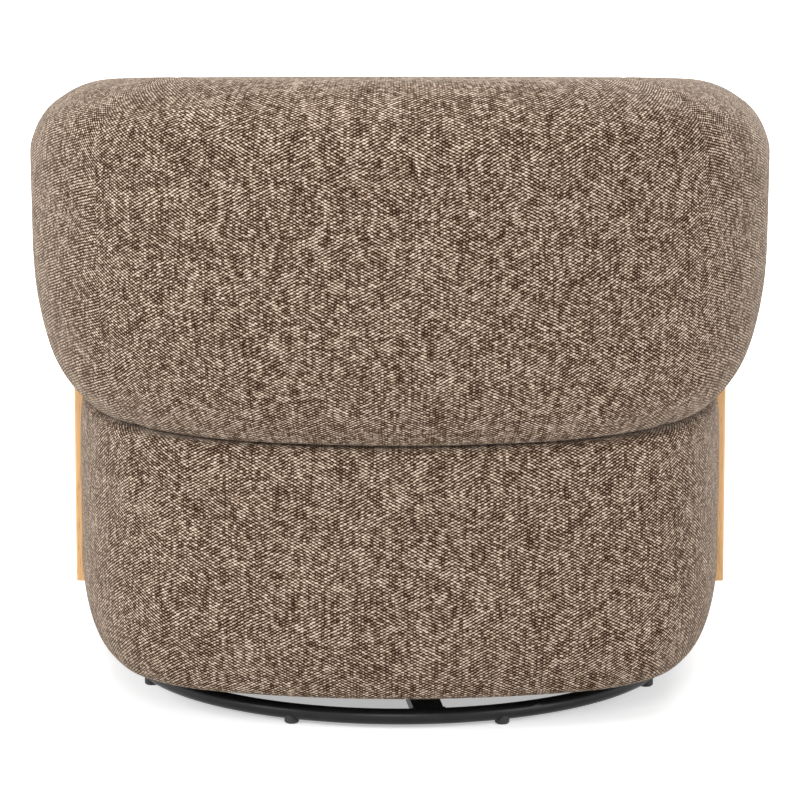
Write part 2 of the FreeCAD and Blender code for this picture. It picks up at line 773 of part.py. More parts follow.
def make_frame():
    posts = [post(place, 0) for place in post_places()]
    subpart("frame_posts", formed(Part.makeCompound(posts)))
    back_rail, arm_rails = rails(0)
    subpart("back_rail", formed(back_rail))
    subpart("arm_rails", formed(Part.makeCompound(arm_rails)))
    top, wall = size("deck_height"), size("platform_wall")
    inner = size("inner_inset")
    ring = drum_slab(inner, top - wall, top, inner + size("seat_ring_width"))
    subpart("seat_ring", formed(ring.cut(posts)))
    low = size("platform_height")
    board = drum_slab(inner, low, low + wall)
    for x, y in platform_bolt_places():
        board = board.cut(Part.makeCylinder(size("bolt_radius"), wall, Vector(size(x), size(y), low)))
    subpart("platform_board", formed(board))
    hoop_z = size("hoop_z")
    hoop = drum_slab(inner, hoop_z, hoop_z + size("hoop_wall"), inner + size("hoop_width"))
    subpart("bottom_hoop", formed(hoop))
    shell = drum_slab(size("shell_inset"), hoop_z, top, inner)
    for hole in screw_holes(size("screw_radius")):
        shell = shell.cut(hole)
    subpart("drum_shell", formed(shell))
    sheet_z = hoop_z - size("cambric")
    dust = drum_slab(inner + size("cambric_margin"), sheet_z, hoop_z)
    side, end = size("web_half_width + cambric_gap"), size("web_half_length + cambric_gap")
    dust = dust.cut(Part.makeBox(2 * side, 2 * end, wall, Vector(-side, -end, sheet_z - wall / 2)))
    subpart("dust_cover", formed(dust))


def make_webbing():
    """Elastic belts across the seat ring: five run back, four cross over them."""
    wide, thick, top = size("webbing_width"), size("webbing_wall"), size("deck_height")
    lap = size("inner_inset + seat_ring_width - webbing_lap")
    side, front = size("drum_half") - lap, size("drum_front") - lap
    along = []
    for number in range(-2, 3):
        x = number * size("webbing_spacing")
        back = side - size("webbing_taper") * abs(number)
        along.append(Part.makeBox(wide, front + back, thick, Vector(x - wide / 2, -front, top)))
    subpart("long_webbing", formed(Part.makeCompound(along)))
    across = []
    level = top + thick + size("clearance") / 3
    for number in range(4):
        y = size("cross_rear") - number * size("cross_spacing")
        across.append(Part.makeBox(2 * side, wide, thick, Vector(-side, y - wide / 2, level)))
    subpart("cross_webbing", formed(Part.makeCompound(across)))


def screw_places():
    """The side boards' screws: (side, y, z)."""
    rear, end = -size("board_setback + screw_end"), size("screw_end - board_setback - board_length")
    low, high = size("board_bottom + screw_end"), size("board_top - screw_drop")
    return [(i, y, z) for i in (-1, 1) for y in (rear, end) for z in (low, high)]


def screw_holes(radius):
    """The screws' shanks, or their holes, from inside the shell to short of the boards' faces."""
    start, tip = size("drum_half - inner_inset - screw_head"), size("screw_tip")
    return [
        Part.makeCylinder(radius, tip - start, Vector(i * start, y, z), Vector(i, 0, 0))
        for i, y, z in screw_places()
    ]


def make_drum_cover(roll):
    """Foam and fabric over the shell: plumb sides, turned under at the rim in a long ellipse."""
    inset, rise, rim = size("rim_inset"), size("rim_rise"), size("rim_height")
    top = size("bolster_bottom - 2 * clearance")
    bowl = rounded(drum_outline, rim + rise, inset, -rise)
    wall = drum_slab(0, rim + rise, top)
    reach, front, foam = size("bolster_heel"), size("drum_front"), size("foam_wall")
    side = size("bolster_half - bolster_wall + toe_radius")
    seat_front = Part.makeBox(2 * side, 2 * foam, reach, Vector(-side, -front - foam / 2, top))
    under_roll = roll.translated(Vector(0, 0, -2 * size("clearance")))
    collar = drum_slab(0, top, top + reach, foam).cut([seat_front, under_roll])
    solid = bowl.fuse([wall, collar]).removeSplitter()
    hollow = drum_slab(foam, size("hoop_z - cambric - clearance"), top + reach)
    mouth = drum_slab(inset + size("rim_width"), 0, top)
    solid = solid.cut([hollow, mouth] + screw_holes(size("screw_radius")))
    subpart("drum_cover", formed(solid))


# Side boards: solid oak, edge-on from behind, screwed through the shell from inside
def make_boards():
    for label, side in (("left_board", 1), ("right_board", -1)):
        body = new_body()
        plan = sketch(body, "YZ_Plane", "drum_half" if side > 0 else "-1 * drum_half - board_wall")
        draw_rectangle(plan, "-1 * board_setback - board_length", "board_bottom",
                       "board_length", "board_top - board_bottom")
        feature(body, "Pad", plan, Length="board_wall")
        holes = sketch(body, "YZ_Plane", "drum_half" if side > 0 else "-1 * drum_half")
        for along in ("board_setback + screw_end", "board_setback + board_length - screw_end"):
            for level in ("board_bottom + screw_end", "board_top - screw_drop"):
                draw_circle(holes, f"-1 * ({along})", level, "screw_radius")
        pocket = feature(body, "Pocket", holes, Length="board_wall - screw_skin")
        pocket.Reversed = side > 0
        doc.recompute()
        edges = [
            f"Edge{number}" for number, edge in enumerate(pocket.Shape.Edges, start=1)
            if abs(edge.CenterOfMass.x) > size("drum_half + board_wall") - 0.1
        ]
        eased = body.newObject("PartDesign::Fillet", "Eased")
        eased.Base = (pocket, edges)
        eased.setExpression("Radius", bound("board_ease"))
        subpart(label, body)
    subpart("board_screws", formed(Part.makeCompound(screw_solids())))


def screw_solids():
    """Shanks with round heads on the shell's inner face."""
    shank, thick = size("screw_radius"), size("screw_head")
    start = size("drum_half - inner_inset - screw_head")
    return [
        hole.fuse(Part.makeCone(2 * shank, 1.4 * shank, thick, Vector(i * start, y, z), Vector(i, 0, 0)))
        for hole, (i, y, z) in zip(screw_holes(shank), screw_places())
    ]


# Wrap-around bolster: one fat padded roll, back and arms together, lofted round the U
def bolster_section(origin, outward, top, shrink=1.0):
    """The roll's upright section at a point of its outer plan line."""
    wall, bottom = size("bolster_wall"), size("bolster_bottom")
    under, swell, heel = size("bolster_undercut"), size("bolster_swell"), size("bolster_heel")
    crown, drop, edge = size("crown_reach"), size("crown_drop"), size("crown_edge")
    toe = size("toe_radius")
    belly = ((under ** 2 + (swell - heel) ** 2 - heel ** 2) / (2 * (under - heel)))
    dome = ((crown - edge) ** 2 + drop ** 2 - edge ** 2) / (2 * (drop - edge))
    shoulder = wall - crown

    def at(depth, level):
        return origin - outward * depth + Vector(0, 0, level)

    def on(depth, level, radius, angle):
        return at(depth - radius * math.cos(angle), level + radius * math.sin(angle))

    lean = -math.atan2(swell - heel, belly - under)
    quarter = math.pi / 2
    belly_z, edge_z, dome_z = bottom + swell, top - drop, top - dome
    blend = on(belly, belly_z, belly, lean)
    angle = math.atan2(edge_z - dome_z, crown - edge)
    crest = on(crown, dome_z, dome, angle)
    pieces = [
        Part.LineSegment(at(wall - toe, bottom), at(under, bottom)),
        Part.Arc(at(under, bottom), on(under, bottom + heel, heel, (lean - quarter) / 2), blend),
        Part.Arc(blend, on(belly, belly_z, belly, lean / 2), at(0, belly_z)),
        Part.LineSegment(at(0, belly_z), at(0, edge_z)),
        Part.Arc(at(0, edge_z), on(edge, edge_z, edge, angle / 2), crest),
        Part.Arc(crest, on(crown, dome_z, dome, (angle + quarter) / 2), at(crown, top)),
        Part.Arc(at(crown, top), on(crown, top - shoulder, shoulder, 1.5 * quarter),
                 at(wall, top - shoulder)),
        Part.LineSegment(at(wall, top - shoulder), at(wall, bottom + toe)),
        Part.Arc(at(wall, bottom + toe), on(wall - toe, bottom + toe, toe, -1.5 * quarter),
                 at(wall - toe, bottom)),
    ]
    wire = Part.Wire([piece.toShape() for piece in pieces])
    if shrink < 1:
        wire.scale(shrink, at(wall / 2, (bottom + top) / 2))
    return wire


def bolster_stations():
    """Points and outward directions round the back of the bolster's plan, from +X to -X."""
    half, corner = size("bolster_half"), size("bolster_corner")
    centre, back, wide, lean = rounded_square(half, corner, size("bolster_reach"))
    quarter = math.pi / 2
    turns = [(Vector(-back, 0, 0), wide, 0, lean, 1),
             (Vector(centre, centre, 0), corner, lean, quarter - lean, 3),
             (Vector(0, -back, 0), wide, quarter - lean, quarter + lean, 2),
             (Vector(-centre, centre, 0), corner, quarter + lean, 2 * quarter - lean, 3),
             (Vector(back, 0, 0), wide, 2 * quarter - lean, 2 * quarter, 1)]
    stations = [(Vector(half, 0, 0), Vector(1, 0, 0))]
    for hub, radius, start, end, count in turns:
        for step in range(1, count + 1):
            angle = start + (end - start) * step / count
            outward = Vector(math.cos(angle), math.sin(angle), 0)
            stations.append((hub + outward * radius, outward))
    return stations


def bolster_roll():
    """The whole roll from one arm's rounded end to the other's."""
    half, front = size("bolster_half"), size("bolster_front")

    def arm(side, y, shrink=1.0):
        return bolster_section(Vector(side * half, y, 0), Vector(side, 0, 0), arm_top(y), shrink)

    nose, last = size("arm_nose"), math.radians(size("arm_turn"))
    ends = []
    for step in range(4, -1, -1):
        angle = last * step / 4
        shrink = 1 - size("arm_taper") * (1 - math.cos(angle))
        ends.append((front - nose + nose * math.sin(angle) / math.sin(last), shrink))
    ends += [((front - nose) * share, 1.0) for share in (0.75, 0.5, 0.25)]
    sections = [arm(1, -y, shrink) for y, shrink in ends]
    for origin, outward in bolster_stations():
        crown = origin - outward * size("crown_reach")
        sections.append(bolster_section(origin, outward, arm_top(crown.y)))
    sections += [arm(-1, -y, shrink) for y, shrink in reversed(ends)]
    return Part.makeLoft(sections, True, False)


def make_bolster(roll):
    gap = size("clearance")
    back_rail, arm_rails = rails(gap)
    slots = [post(place, gap) for place in post_places()] + [back_rail] + arm_rails
    subpart("wrap_bolster", formed(roll.cut(slots)))


# Seat cushion and inside back pad
def seat_outline(inset, level):
    """The cushion's plan drawn in by inset: it follows the bolster's inside, with a bowed front."""
    gap = size("bolster_wall + seat_gap") + inset
    hub, spread, wide, lean = rounded_square(
        size("bolster_half"), size("bolster_corner"), size("bolster_reach"))
    half, wide, radius = size("bolster_half") - gap, wide - gap, size("bolster_corner") - gap
    back, front = half - size("pad_depth + seat_gap"), size("bolster_front - cushion_setback") - inset
    corner, rear = size("cushion_corner") - inset / 4, size("cushion_rear_corner") - inset / 8
    bow = size("cushion_bow")

    def at(x, y):
        return Vector(x, y, level)

    def on(x, y, reach, angle):
        return at(x + reach * math.cos(angle), y + reach * math.sin(angle))

    last = math.asin((back - rear - hub) / (radius - rear))
    rear_x = hub + (radius - rear) * math.cos(last)
    touch = on(hub, hub, radius, last)
    knee = on(rear_x, back - rear, rear, (last + math.pi / 2) / 2)
    side = on(-spread, 0, wide, lean / 2)
    bend = on(hub, hub, radius, (lean + last) / 2)
    nose = -front + bow
    diagonal = corner * (1 - math.sqrt(0.5))

    def flip(point):
        return at(-point.x, point.y)

    pieces = [
        Part.Arc(at(half, 0), side, on(-spread, 0, wide, lean)),
        Part.Arc(on(-spread, 0, wide, lean), bend, touch),
        Part.Arc(touch, knee, at(rear_x, back)),
        Part.LineSegment(at(rear_x, back), at(-rear_x, back)),
        Part.Arc(at(-rear_x, back), flip(knee), flip(touch)),
        Part.Arc(flip(touch), flip(bend), flip(on(-spread, 0, wide, lean))),
        Part.Arc(flip(on(-spread, 0, wide, lean)), flip(side), at(-half, 0)),
        Part.LineSegment(at(-half, 0), at(-half, nose + corner)),
        Part.Arc(at(-half, nose + corner), at(-half + diagonal, nose + diagonal),
                 at(-half + corner, nose)),
        Part.Arc(at(-half + corner, nose), at(0, -front), at(half - corner, nose)),
        Part.Arc(at(half - corner, nose), at(half - diagonal, nose + diagonal),
                 at(half, nose + corner)),
        Part.LineSegment(at(half, nose + corner), at(half, 0)),
    ]
    return Part.Wire([piece.toShape() for piece in pieces])


def make_cushion():
    """Boxed and crowned: the border draws in between its two seams, the top swells."""
    low, tall = size("bolster_bottom"), size("cushion_height")
    hem, seam, waist = low + size("cushion_hem"), low + size("cushion_seam"), size("cushion_waist")
    base = rounded(seat_outline, hem, size("cushion_hem_inset"), low - hem)
    border = Part.makeLoft([
        seat_outline(waist * math.sin(math.pi * share / 6), hem + (seam - hem) * share / 6)
        for share in range(7)
    ], True, False)
    crown = rounded(seat_outline, seam, size("cushion_crown"), low + tall - seam, 78)
    subpart("seat_cushion", formed(base.fuse([border, crown]).removeSplitter()))


def pad_outline(inset, level):
    """The back pad's plan: the bolster's inner arc behind, a shallower arc in front."""
    gap = size("bolster_wall + seat_gap") + inset
    hub, spread, wide, lean = rounded_square(
        size("bolster_half"), size("bolster_corner"), size("bolster_reach"))
    wide, radius = wide - gap, size("bolster_corner") - gap
    back = size("bolster_half") - gap
    front = back - size("pad_depth") + 2 * inset

    def on(x, y, reach, angle):
        return Vector(x + reach * math.cos(angle), y + reach * math.sin(angle), level)

    cheek_depth, bow = size("pad_cheek"), size("pad_bow")
    first, turn = math.asin((front + cheek_depth - hub) / radius), math.pi / 2 - lean
    tip, shoulder = on(hub, hub, radius, first), on(0, -spread, wide, turn)
    bend = on(hub, hub, radius, (first + turn) / 2)
    cheek = Vector(tip.x - cheek_depth + bow, front + bow, level)

    def flip(point):
        return Vector(-point.x, point.y, point.z)

    pieces = [
        Part.Arc(tip, bend, shoulder),
        Part.Arc(shoulder, Vector(0, back, level), flip(shoulder)),
        Part.Arc(flip(shoulder), flip(bend), flip(tip)),
        Part.LineSegment(flip(tip), flip(cheek)),
        Part.Arc(flip(cheek), Vector(0, front, level), cheek),
        Part.LineSegment(cheek, tip),
    ]
    return Part.Wire([piece.toShape() for piece in pieces])


def make_back_pad():
    low, high = size("bolster_bottom"), size("back_height - pad_drop")
    seam = high - size("pad_roll")
    base = Part.Face(pad_outline(0, low)).extrude(Vector(0, 0, seam - low))
    crest = rounded(pad_outline, seam, size("pad_roll_inset"), high - seam, 80)
    subpart("inside_back_pad", formed(base.fuse(crest).removeSplitter()))


make_ring()
make_cross()
make_feet()
make_bearing()
make_centre_pin()
make_base_fasteners()
make_carriage()
make_carriage_fittings()
make_axle()
make_springs()
make_rocker_frame()
make_platform_fasteners()
make_frame()
make_webbing()
bolster = bolster_roll()
make_drum_cover(bolster)
make_boards()
make_bolster(bolster)
make_cushion()
make_back_pad()

doc.recompute()
faults = [item.Name for item in doc.Objects if {"Invalid", "Error"} & set(item.State)]
faults += [item.Label for item in subparts if item.Shape.isNull() or not item.Shape.isValid()]
if faults:
    raise RuntimeError(f"pieces that failed to build: {faults}")

os.makedirs("parts", exist_ok=True)
for item in subparts:
    item.Shape.exportStep(f"parts/{item.Label}.step")
    solids = item.Shape.Solids
    print(item.Label, len(solids), "solids", round(sum(s.Volume for s in solids) / 1000, 1), "cm3")
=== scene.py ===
import math

import bmesh
import bpy
import numpy as np
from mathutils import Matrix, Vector


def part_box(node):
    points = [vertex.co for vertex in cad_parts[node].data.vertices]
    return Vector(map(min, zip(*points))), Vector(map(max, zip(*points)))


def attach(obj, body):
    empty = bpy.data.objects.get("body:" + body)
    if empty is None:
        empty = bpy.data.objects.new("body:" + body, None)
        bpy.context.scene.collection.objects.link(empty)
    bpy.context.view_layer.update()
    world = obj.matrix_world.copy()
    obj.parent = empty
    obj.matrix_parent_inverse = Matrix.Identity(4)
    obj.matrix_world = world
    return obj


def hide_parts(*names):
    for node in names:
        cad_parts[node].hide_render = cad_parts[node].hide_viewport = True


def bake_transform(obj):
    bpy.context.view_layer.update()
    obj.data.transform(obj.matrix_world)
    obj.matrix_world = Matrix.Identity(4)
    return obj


# Swivel rocker seen from behind: an upholstered barrel chair whose fat wrap-around bolster
# overhangs a fabric-covered drum, with an oak board on each side, on a low black ring base.
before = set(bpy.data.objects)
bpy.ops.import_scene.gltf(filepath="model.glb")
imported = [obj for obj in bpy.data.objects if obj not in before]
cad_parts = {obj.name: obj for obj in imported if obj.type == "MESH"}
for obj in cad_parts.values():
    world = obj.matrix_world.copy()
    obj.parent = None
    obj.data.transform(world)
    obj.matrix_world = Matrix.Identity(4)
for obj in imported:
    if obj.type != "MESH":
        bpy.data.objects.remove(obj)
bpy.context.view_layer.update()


# Ring base. A hoop of bent steel tube, 17 mm thick, with a half-lapped cross of flat bar welded
# across it, all in satin black powder coat. It stands on eight moulded black nylon studs.
def add(tree, kind, inputs=None, **settings):
    """One node of a tree; inputs maps a socket's name or number to a value or a source."""
    made = tree.nodes.new(kind)
    for key, value in settings.items():
        setattr(made, key, value)
    for place, value in (inputs or {}).items():
        if isinstance(value, bpy.types.NodeSocket):
            tree.links.new(value, made.inputs[place])
        else:
            made.inputs[place].default_value = value
    return made


def maths(tree, operation, *values):
    return add(tree, "ShaderNodeMath", dict(enumerate(values)), operation=operation).outputs[0]


def ramp(tree, source, *stops):
    """A colour for each level of the source: stops are (level, (red, green, blue))."""
    made = add(tree, "ShaderNodeValToRGB", {"Fac": source})
    marks = made.color_ramp.elements
    while len(marks) < len(stops):
        marks.new(0.5)
    for mark, (level, colour) in zip(marks, stops):
        mark.position, mark.color = level, (*colour, 1)
    return made.outputs["Color"]


def cloud(tree, place, scale, detail=3.0, stretch=None, **sockets):
    """Soft noise over a place, drawn out along an axis where stretch shrinks it."""
    if stretch:
        place = add(tree, "ShaderNodeMapping", {"Vector": place, "Scale": stretch}).outputs[0]
    inputs = {"Vector": place, "Scale": scale, "Detail": detail, **sockets}
    return add(tree, "ShaderNodeTexNoise", inputs).outputs["Fac"]


def start_finish(name, **sockets):
    """A new material: its tree, its shader with the constant sockets set, and its place node."""
    made = bpy.data.materials.new(name)
    made.use_nodes = True
    tree = made.node_tree
    shader = tree.nodes["Principled BSDF"]
    for socket, value in sockets.items():
        shader.inputs[socket.replace("_", " ").title().replace("Ior", "IOR")].default_value = value
    place = add(tree, "ShaderNodeTexCoord").outputs["Object"]
    return made, tree, shader, place


def relief(tree, shader, height, distance, strength=1.0):
    """Raises the surface by height times distance, in metres."""
    bump = add(tree, "ShaderNodeBump",
               {"Height": height, "Distance": distance, "Strength": strength})
    tree.links.new(bump.outputs["Normal"], shader.inputs["Normal"])


def tinted(tree, shader, source, *stops):
    tree.links.new(ramp(tree, source, *stops), shader.inputs["Base Color"])


def uneven(tree, shader, source, spread, least):
    """Roughness that rises from least by spread times the source."""
    tree.links.new(maths(tree, "MULTIPLY_ADD", source, spread, least), shader.inputs["Roughness"])


def cloudy_finish(name, colour, shine, grit, **sockets):
    """A finish of cloudy colour, uneven roughness and fine relief.

    colour is (scale, detail, *stops), shine is (scale, detail, spread, least), and grit is
    (scale, detail, height in metres), with a stretch where its marks are drawn out."""
    made, tree, shader, place = start_finish(name, **sockets)
    scale, detail, *stops = colour
    tinted(tree, shader, cloud(tree, place, scale, detail), *stops)
    scale, detail, spread, least = shine
    uneven(tree, shader, cloud(tree, place, scale, detail), spread, least)
    scale, detail, height, *stretch = grit
    relief(tree, shader, cloud(tree, place, scale, detail, *stretch), height)
    return made


def coat(material, *nodes):
    """Gives carried-over pieces their finish."""
    for node in nodes:
        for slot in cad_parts[node].material_slots:
            slot.material = material


powder_coat = cloudy_finish(
    "satin_black_powder_coat", metallic=0.0, specular_ior_level=0.25,
    colour=(45, 5.0, (0.3, (0.005, 0.005, 0.0055)), (0.75, (0.011, 0.011, 0.0115))),
    shine=(70, 4.0, 0.16, 0.27), grit=(900, 2.0, 0.00006))
coat(powder_coat, "base_ring", "base_cross")

stud_nylon = cloudy_finish(
    "moulded_black_nylon", specular_ior_level=0.4,
    colour=(300, 4.0, (0.3, (0.012, 0.012, 0.012)), (0.8, (0.035, 0.034, 0.033))),
    shine=(120, 3.0, 0.25, 0.42), grit=(1500, 1.0, 0.00005))
coat(stud_nylon, "foot_studs")


# Weld beads. A rippled bead runs along both sides of each flat bar where it meets the hoop,
# laid in overlapping pools by hand and coated over with the same black powder.
def new_object(name, data):
    made = bpy.data.objects.new(name, data)
    bpy.context.scene.collection.objects.link(made)
    return made


def mesh_of(name, vertices, faces):
    mesh = bpy.data.meshes.new(name)
    mesh.from_pydata([tuple(vertex) for vertex in vertices], [], [tuple(face) for face in faces])
    mesh.validate()
    return new_object(name, mesh)


def settled(name, source):
    """The evaluated shape as a plain mesh object, with the source removed."""
    evaluated = source.evaluated_get(bpy.context.evaluated_depsgraph_get())
    mesh = bpy.data.meshes.new_from_object(evaluated)
    mesh.name = name
    bpy.data.objects.remove(source)
    return new_object(name, mesh)


def repeat_tree(name, sizes):
    """A Geometry Nodes tree with a mesh input and named number inputs."""
    made = bpy.data.node_groups.new(name, "GeometryNodeTree")
    made.interface.new_socket("Line", in_out="INPUT", socket_type="NodeSocketGeometry")
    for label, value in sizes.items():
        socket = made.interface.new_socket(label, in_out="INPUT", socket_type="NodeSocketFloat")
        socket.default_value = value
    made.interface.new_socket("Pieces", in_out="OUTPUT", socket_type="NodeSocketGeometry")
    return made, made.nodes.new("NodeGroupInput"), made.nodes.new("NodeGroupOutput")


def grown(name, line, tree, values):
    """Runs a repeating tree over a line object and keeps the result as a plain mesh."""
    modifier = line.modifiers.new(name, "NODES")
    modifier.node_group = tree
    for item in tree.interface.items_tree:
        if item.item_type == "SOCKET" and item.in_out == "INPUT" and item.name in values:
            modifier[item.identifier] = values[item.name]
    line.update_tag()
    return settled(name, line)


def spread_along(name, shape, shape_sizes, finish):
    """A tree that sets one small shape at even steps along a line, its top where the line faces."""
    tree, given, result = repeat_tree(name, {"Step": 0.01, **shape_sizes})
    spread = add(tree, "GeometryNodeMeshToCurve", {"Mesh": given.outputs["Line"]})
    spots = add(tree, "GeometryNodeCurveToPoints",
                {"Curve": spread.outputs[0], "Length": given.outputs["Step"]}, mode="LENGTH")
    piece = shape(tree, given)
    turned = add(tree, "FunctionNodeAlignRotationToVector",
                 {"Vector": spots.outputs["Tangent"]}, axis="X")
    side = add(tree, "GeometryNodeInputNamedAttribute", {"Name": "facing"},
               data_type="FLOAT_VECTOR")
    stood = add(tree, "FunctionNodeAlignRotationToVector",
                {"Rotation": turned.outputs[0], "Vector": side.outputs[0]},
                axis="Z", pivot_axis="X")
    placed = add(tree, "GeometryNodeInstanceOnPoints",
                 {"Points": spots.outputs["Points"], "Instance": piece,
                  "Rotation": stood.outputs[0]})
    real = add(tree, "GeometryNodeRealizeInstances", {"Geometry": placed.outputs[0]})
    coated = add(tree, "GeometryNodeSetMaterial", {"Geometry": real.outputs[0], "Material": finish})
    tree.links.new(coated.outputs[0], result.inputs["Pieces"])
    return tree


def line_of(name, runs):
    """Edges along each run of (point, facing) pairs, with the facing kept on the points."""
    vertices, edges, facings = [], [], []
    for run in runs:
        first = len(vertices)
        vertices += [tuple(point) for point, _ in run]
        facings += [tuple(facing) for _, facing in run]
        edges += [(first + i, first + i + 1) for i in range(len(run) - 1)]
    mesh = bpy.data.meshes.new(name)
    mesh.from_pydata(vertices, edges, [])
    facing = mesh.attributes.new("facing", "FLOAT_VECTOR", "POINT")
    facing.data.foreach_set("vector", np.array(facings, np.float32).ravel())
    return new_object(name, mesh)


def bead_pool(tree, given):
    ball = add(tree, "GeometryNodeMeshIcoSphere", {"Radius": 1.0, "Subdivisions": 2})
    sizes = {place: given.outputs[label] for place, label in enumerate(pool_sizes)}
    scale = add(tree, "ShaderNodeCombineXYZ", sizes)
    flat = add(tree, "GeometryNodeTransform",
               {"Geometry": ball.outputs[0], "Scale": scale.outputs[0]})
    return add(tree, "GeometryNodeSetShadeSmooth", {"Geometry": flat.outputs[0]}).outputs[0]


ring_low, ring_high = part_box("base_ring")
tube = (ring_high.z - ring_low.z) / 2
hoop_radius, hoop_z = ring_high.x - tube, ring_low.z + tube
quarter_turn, up = math.pi / 2, Vector((0, 0, 1))
bar_turn, bar_half, bead_out = math.radians(6), 0.016, 0.0004
bead_low, bead_high = 0.0095, 0.0212
pool_sizes = {"Length": 0.0016, "Width": 0.0017, "Height": 0.0014}
bead_runs = []
for quarter in range(4):
    angle = bar_turn + quarter_turn * quarter
    for side in (-1, 1):
        run = []
        for step in range(9):
            lean = math.radians(88 + 92 * step / 8)
            reach = hoop_radius + tube * math.cos(lean)
            height = hoop_z + tube * math.sin(lean)
            along = math.sqrt(reach ** 2 - bar_half ** 2)
            across = side * (bar_half + bead_out)
            point = Vector((along * math.cos(angle) - across * math.sin(angle),
                            along * math.sin(angle) + across * math.cos(angle), height))
            if bead_low < height < bead_high:
                run.append((point, up))
        bead_runs.append(run)
weld_beads = grown("weld_beads", line_of("bead_line", bead_runs),
                   spread_along("weld_bead_pools", bead_pool, pool_sizes, powder_coat),
                   {"Step": 0.0013, **pool_sizes})
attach(weld_beads, "base")


# Swivel bearing. Two bright zinc plates pressed with facing ball races, twelve steel balls in a
# moulded cage between them, a headed centre pin, and bolts and nuts through the cross.
zinc = cloudy_finish(
    "bright_zinc_plate", metallic=1.0,
    colour=(160, 5.0, (0.3, (0.5, 0.51, 0.53)), (0.7, (0.68, 0.68, 0.66))),
    shine=(420, 3.0, 0.25, 0.24), grit=(2200, 2.0, 0.00004, (1, 1, 0.2)))
coat(zinc, "lower_swivel_plate", "upper_swivel_plate", "bearing_balls", "centre_pin",
     "base_bolts", "base_nuts", "carriage_rivets", "lower_spring_cups", "upper_spring_cups",
     "pivot_axle", "axle_clips", "platform_bolts", "platform_nuts", "board_screws")

cage_nylon = cloudy_finish(
    "natural_nylon", subsurface_weight=0.1, specular_ior_level=0.4,
    colour=(90, 4.0, (0.3, (0.68, 0.66, 0.58)), (0.75, (0.8, 0.78, 0.7))),
    shine=(260, 3.0, 0.2, 0.35), grit=(1200, 1.0, 0.00005))
coat(cage_nylon, "ball_cage", "pivot_bushes")


# Rocker mechanism. A pressed channel with cheeks carries the pivot axle, and side brackets joined
# by cross members swing on it, all in black enamel, between rubber bump stops and oiled coils.
pressing = cloudy_finish(
    "black_enamelled_pressing", metallic=0.0, coat_weight=0.2,
    colour=(60, 6.0, (0.3, (0.013, 0.013, 0.014)), (0.8, (0.03, 0.029, 0.028))),
    shine=(200, 4.0, 0.2, 0.3), grit=(700, 2.0, 0.00008))
coat(pressing, "rocker_carriage", "stop_posts", "rocker_frame")

spring_wire = cloudy_finish(
    "oiled_spring_wire", metallic=1.0,
    colour=(240, 5.0, (0.3, (0.1, 0.1, 0.105)), (0.75, (0.26, 0.25, 0.24))),
    shine=(500, 3.0, 0.25, 0.22), grit=(3000, 1.0, 0.00003))


def joined(mesh, reach=1e-5, outward=False):
    """Merges a mesh's doubled vertices, and turns its faces outwards where that is asked."""
    merged = bmesh.new()
    merged.from_mesh(mesh)
    bmesh.ops.remove_doubles(merged, verts=merged.verts, dist=reach)
    if outward:
        bmesh.ops.recalc_face_normals(merged, faces=merged.faces)
    merged.to_mesh(mesh)
    merged.free()
    return mesh


for node, name in (("front_springs", "front_coils"), ("rear_springs", "rear_coils")):
    wound = joined(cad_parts[node].data.copy())
    wound.materials.clear()
    wound.materials.append(spring_wire)
    coils = new_object(name, wound)
    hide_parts(node)
    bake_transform(coils)

stop_rubber = cloudy_finish(
    "moulded_black_rubber", specular_ior_level=0.25,
    colour=(180, 5.0, (0.3, (0.012, 0.012, 0.012)), (0.8, (0.045, 0.044, 0.042))),
    shine=(350, 3.0, 0.2, 0.65), grit=(1800, 2.0, 0.00008))
coat(stop_rubber, "bump_stops")


# Timber frame. Sawn hardwood posts and arm rails, with birch plywood for the platform, the bent
# shell, the seat ring, the bottom hoop and the curved back rail, all glued and screwed.
def timber(name, pale, dark, ring_scale, grain):
    """Wood whose fibres run along the axis that grain shrinks most."""
    made, tree, shader, place = start_finish(name, specular_ior_level=0.35)
    rings = cloud(tree, place, ring_scale, 4.0, grain, Distortion=0.8)
    pores = cloud(tree, place, ring_scale * 22, 3.0, grain)
    level = maths(tree, "ADD", maths(tree, "MULTIPLY", rings, 0.75),
                  maths(tree, "MULTIPLY", pores, 0.25))
    tinted(tree, shader, level, (0.32, dark), (0.68, pale))
    uneven(tree, shader, pores, 0.2, 0.55)
    relief(tree, shader, pores, 0.0002)
    return made


hardwood = ((0.56, 0.38, 0.21), (0.36, 0.22, 0.11), 26)
birch = ((0.66, 0.5, 0.32), (0.5, 0.35, 0.2), 14)
coat(timber("sawn_hardwood", *hardwood, grain=(1, 1, 0.08)), "frame_posts")
coat(timber("sawn_hardwood_rail", *hardwood, grain=(1, 0.08, 1)), "arm_rails")
coat(timber("birch_plywood", *birch, grain=(0.12, 1, 1)),
     "platform_board", "seat_ring", "bottom_hoop", "back_rail")
coat(timber("bent_birch_ply", *birch, grain=(1, 1, 0.12)), "drum_shell")


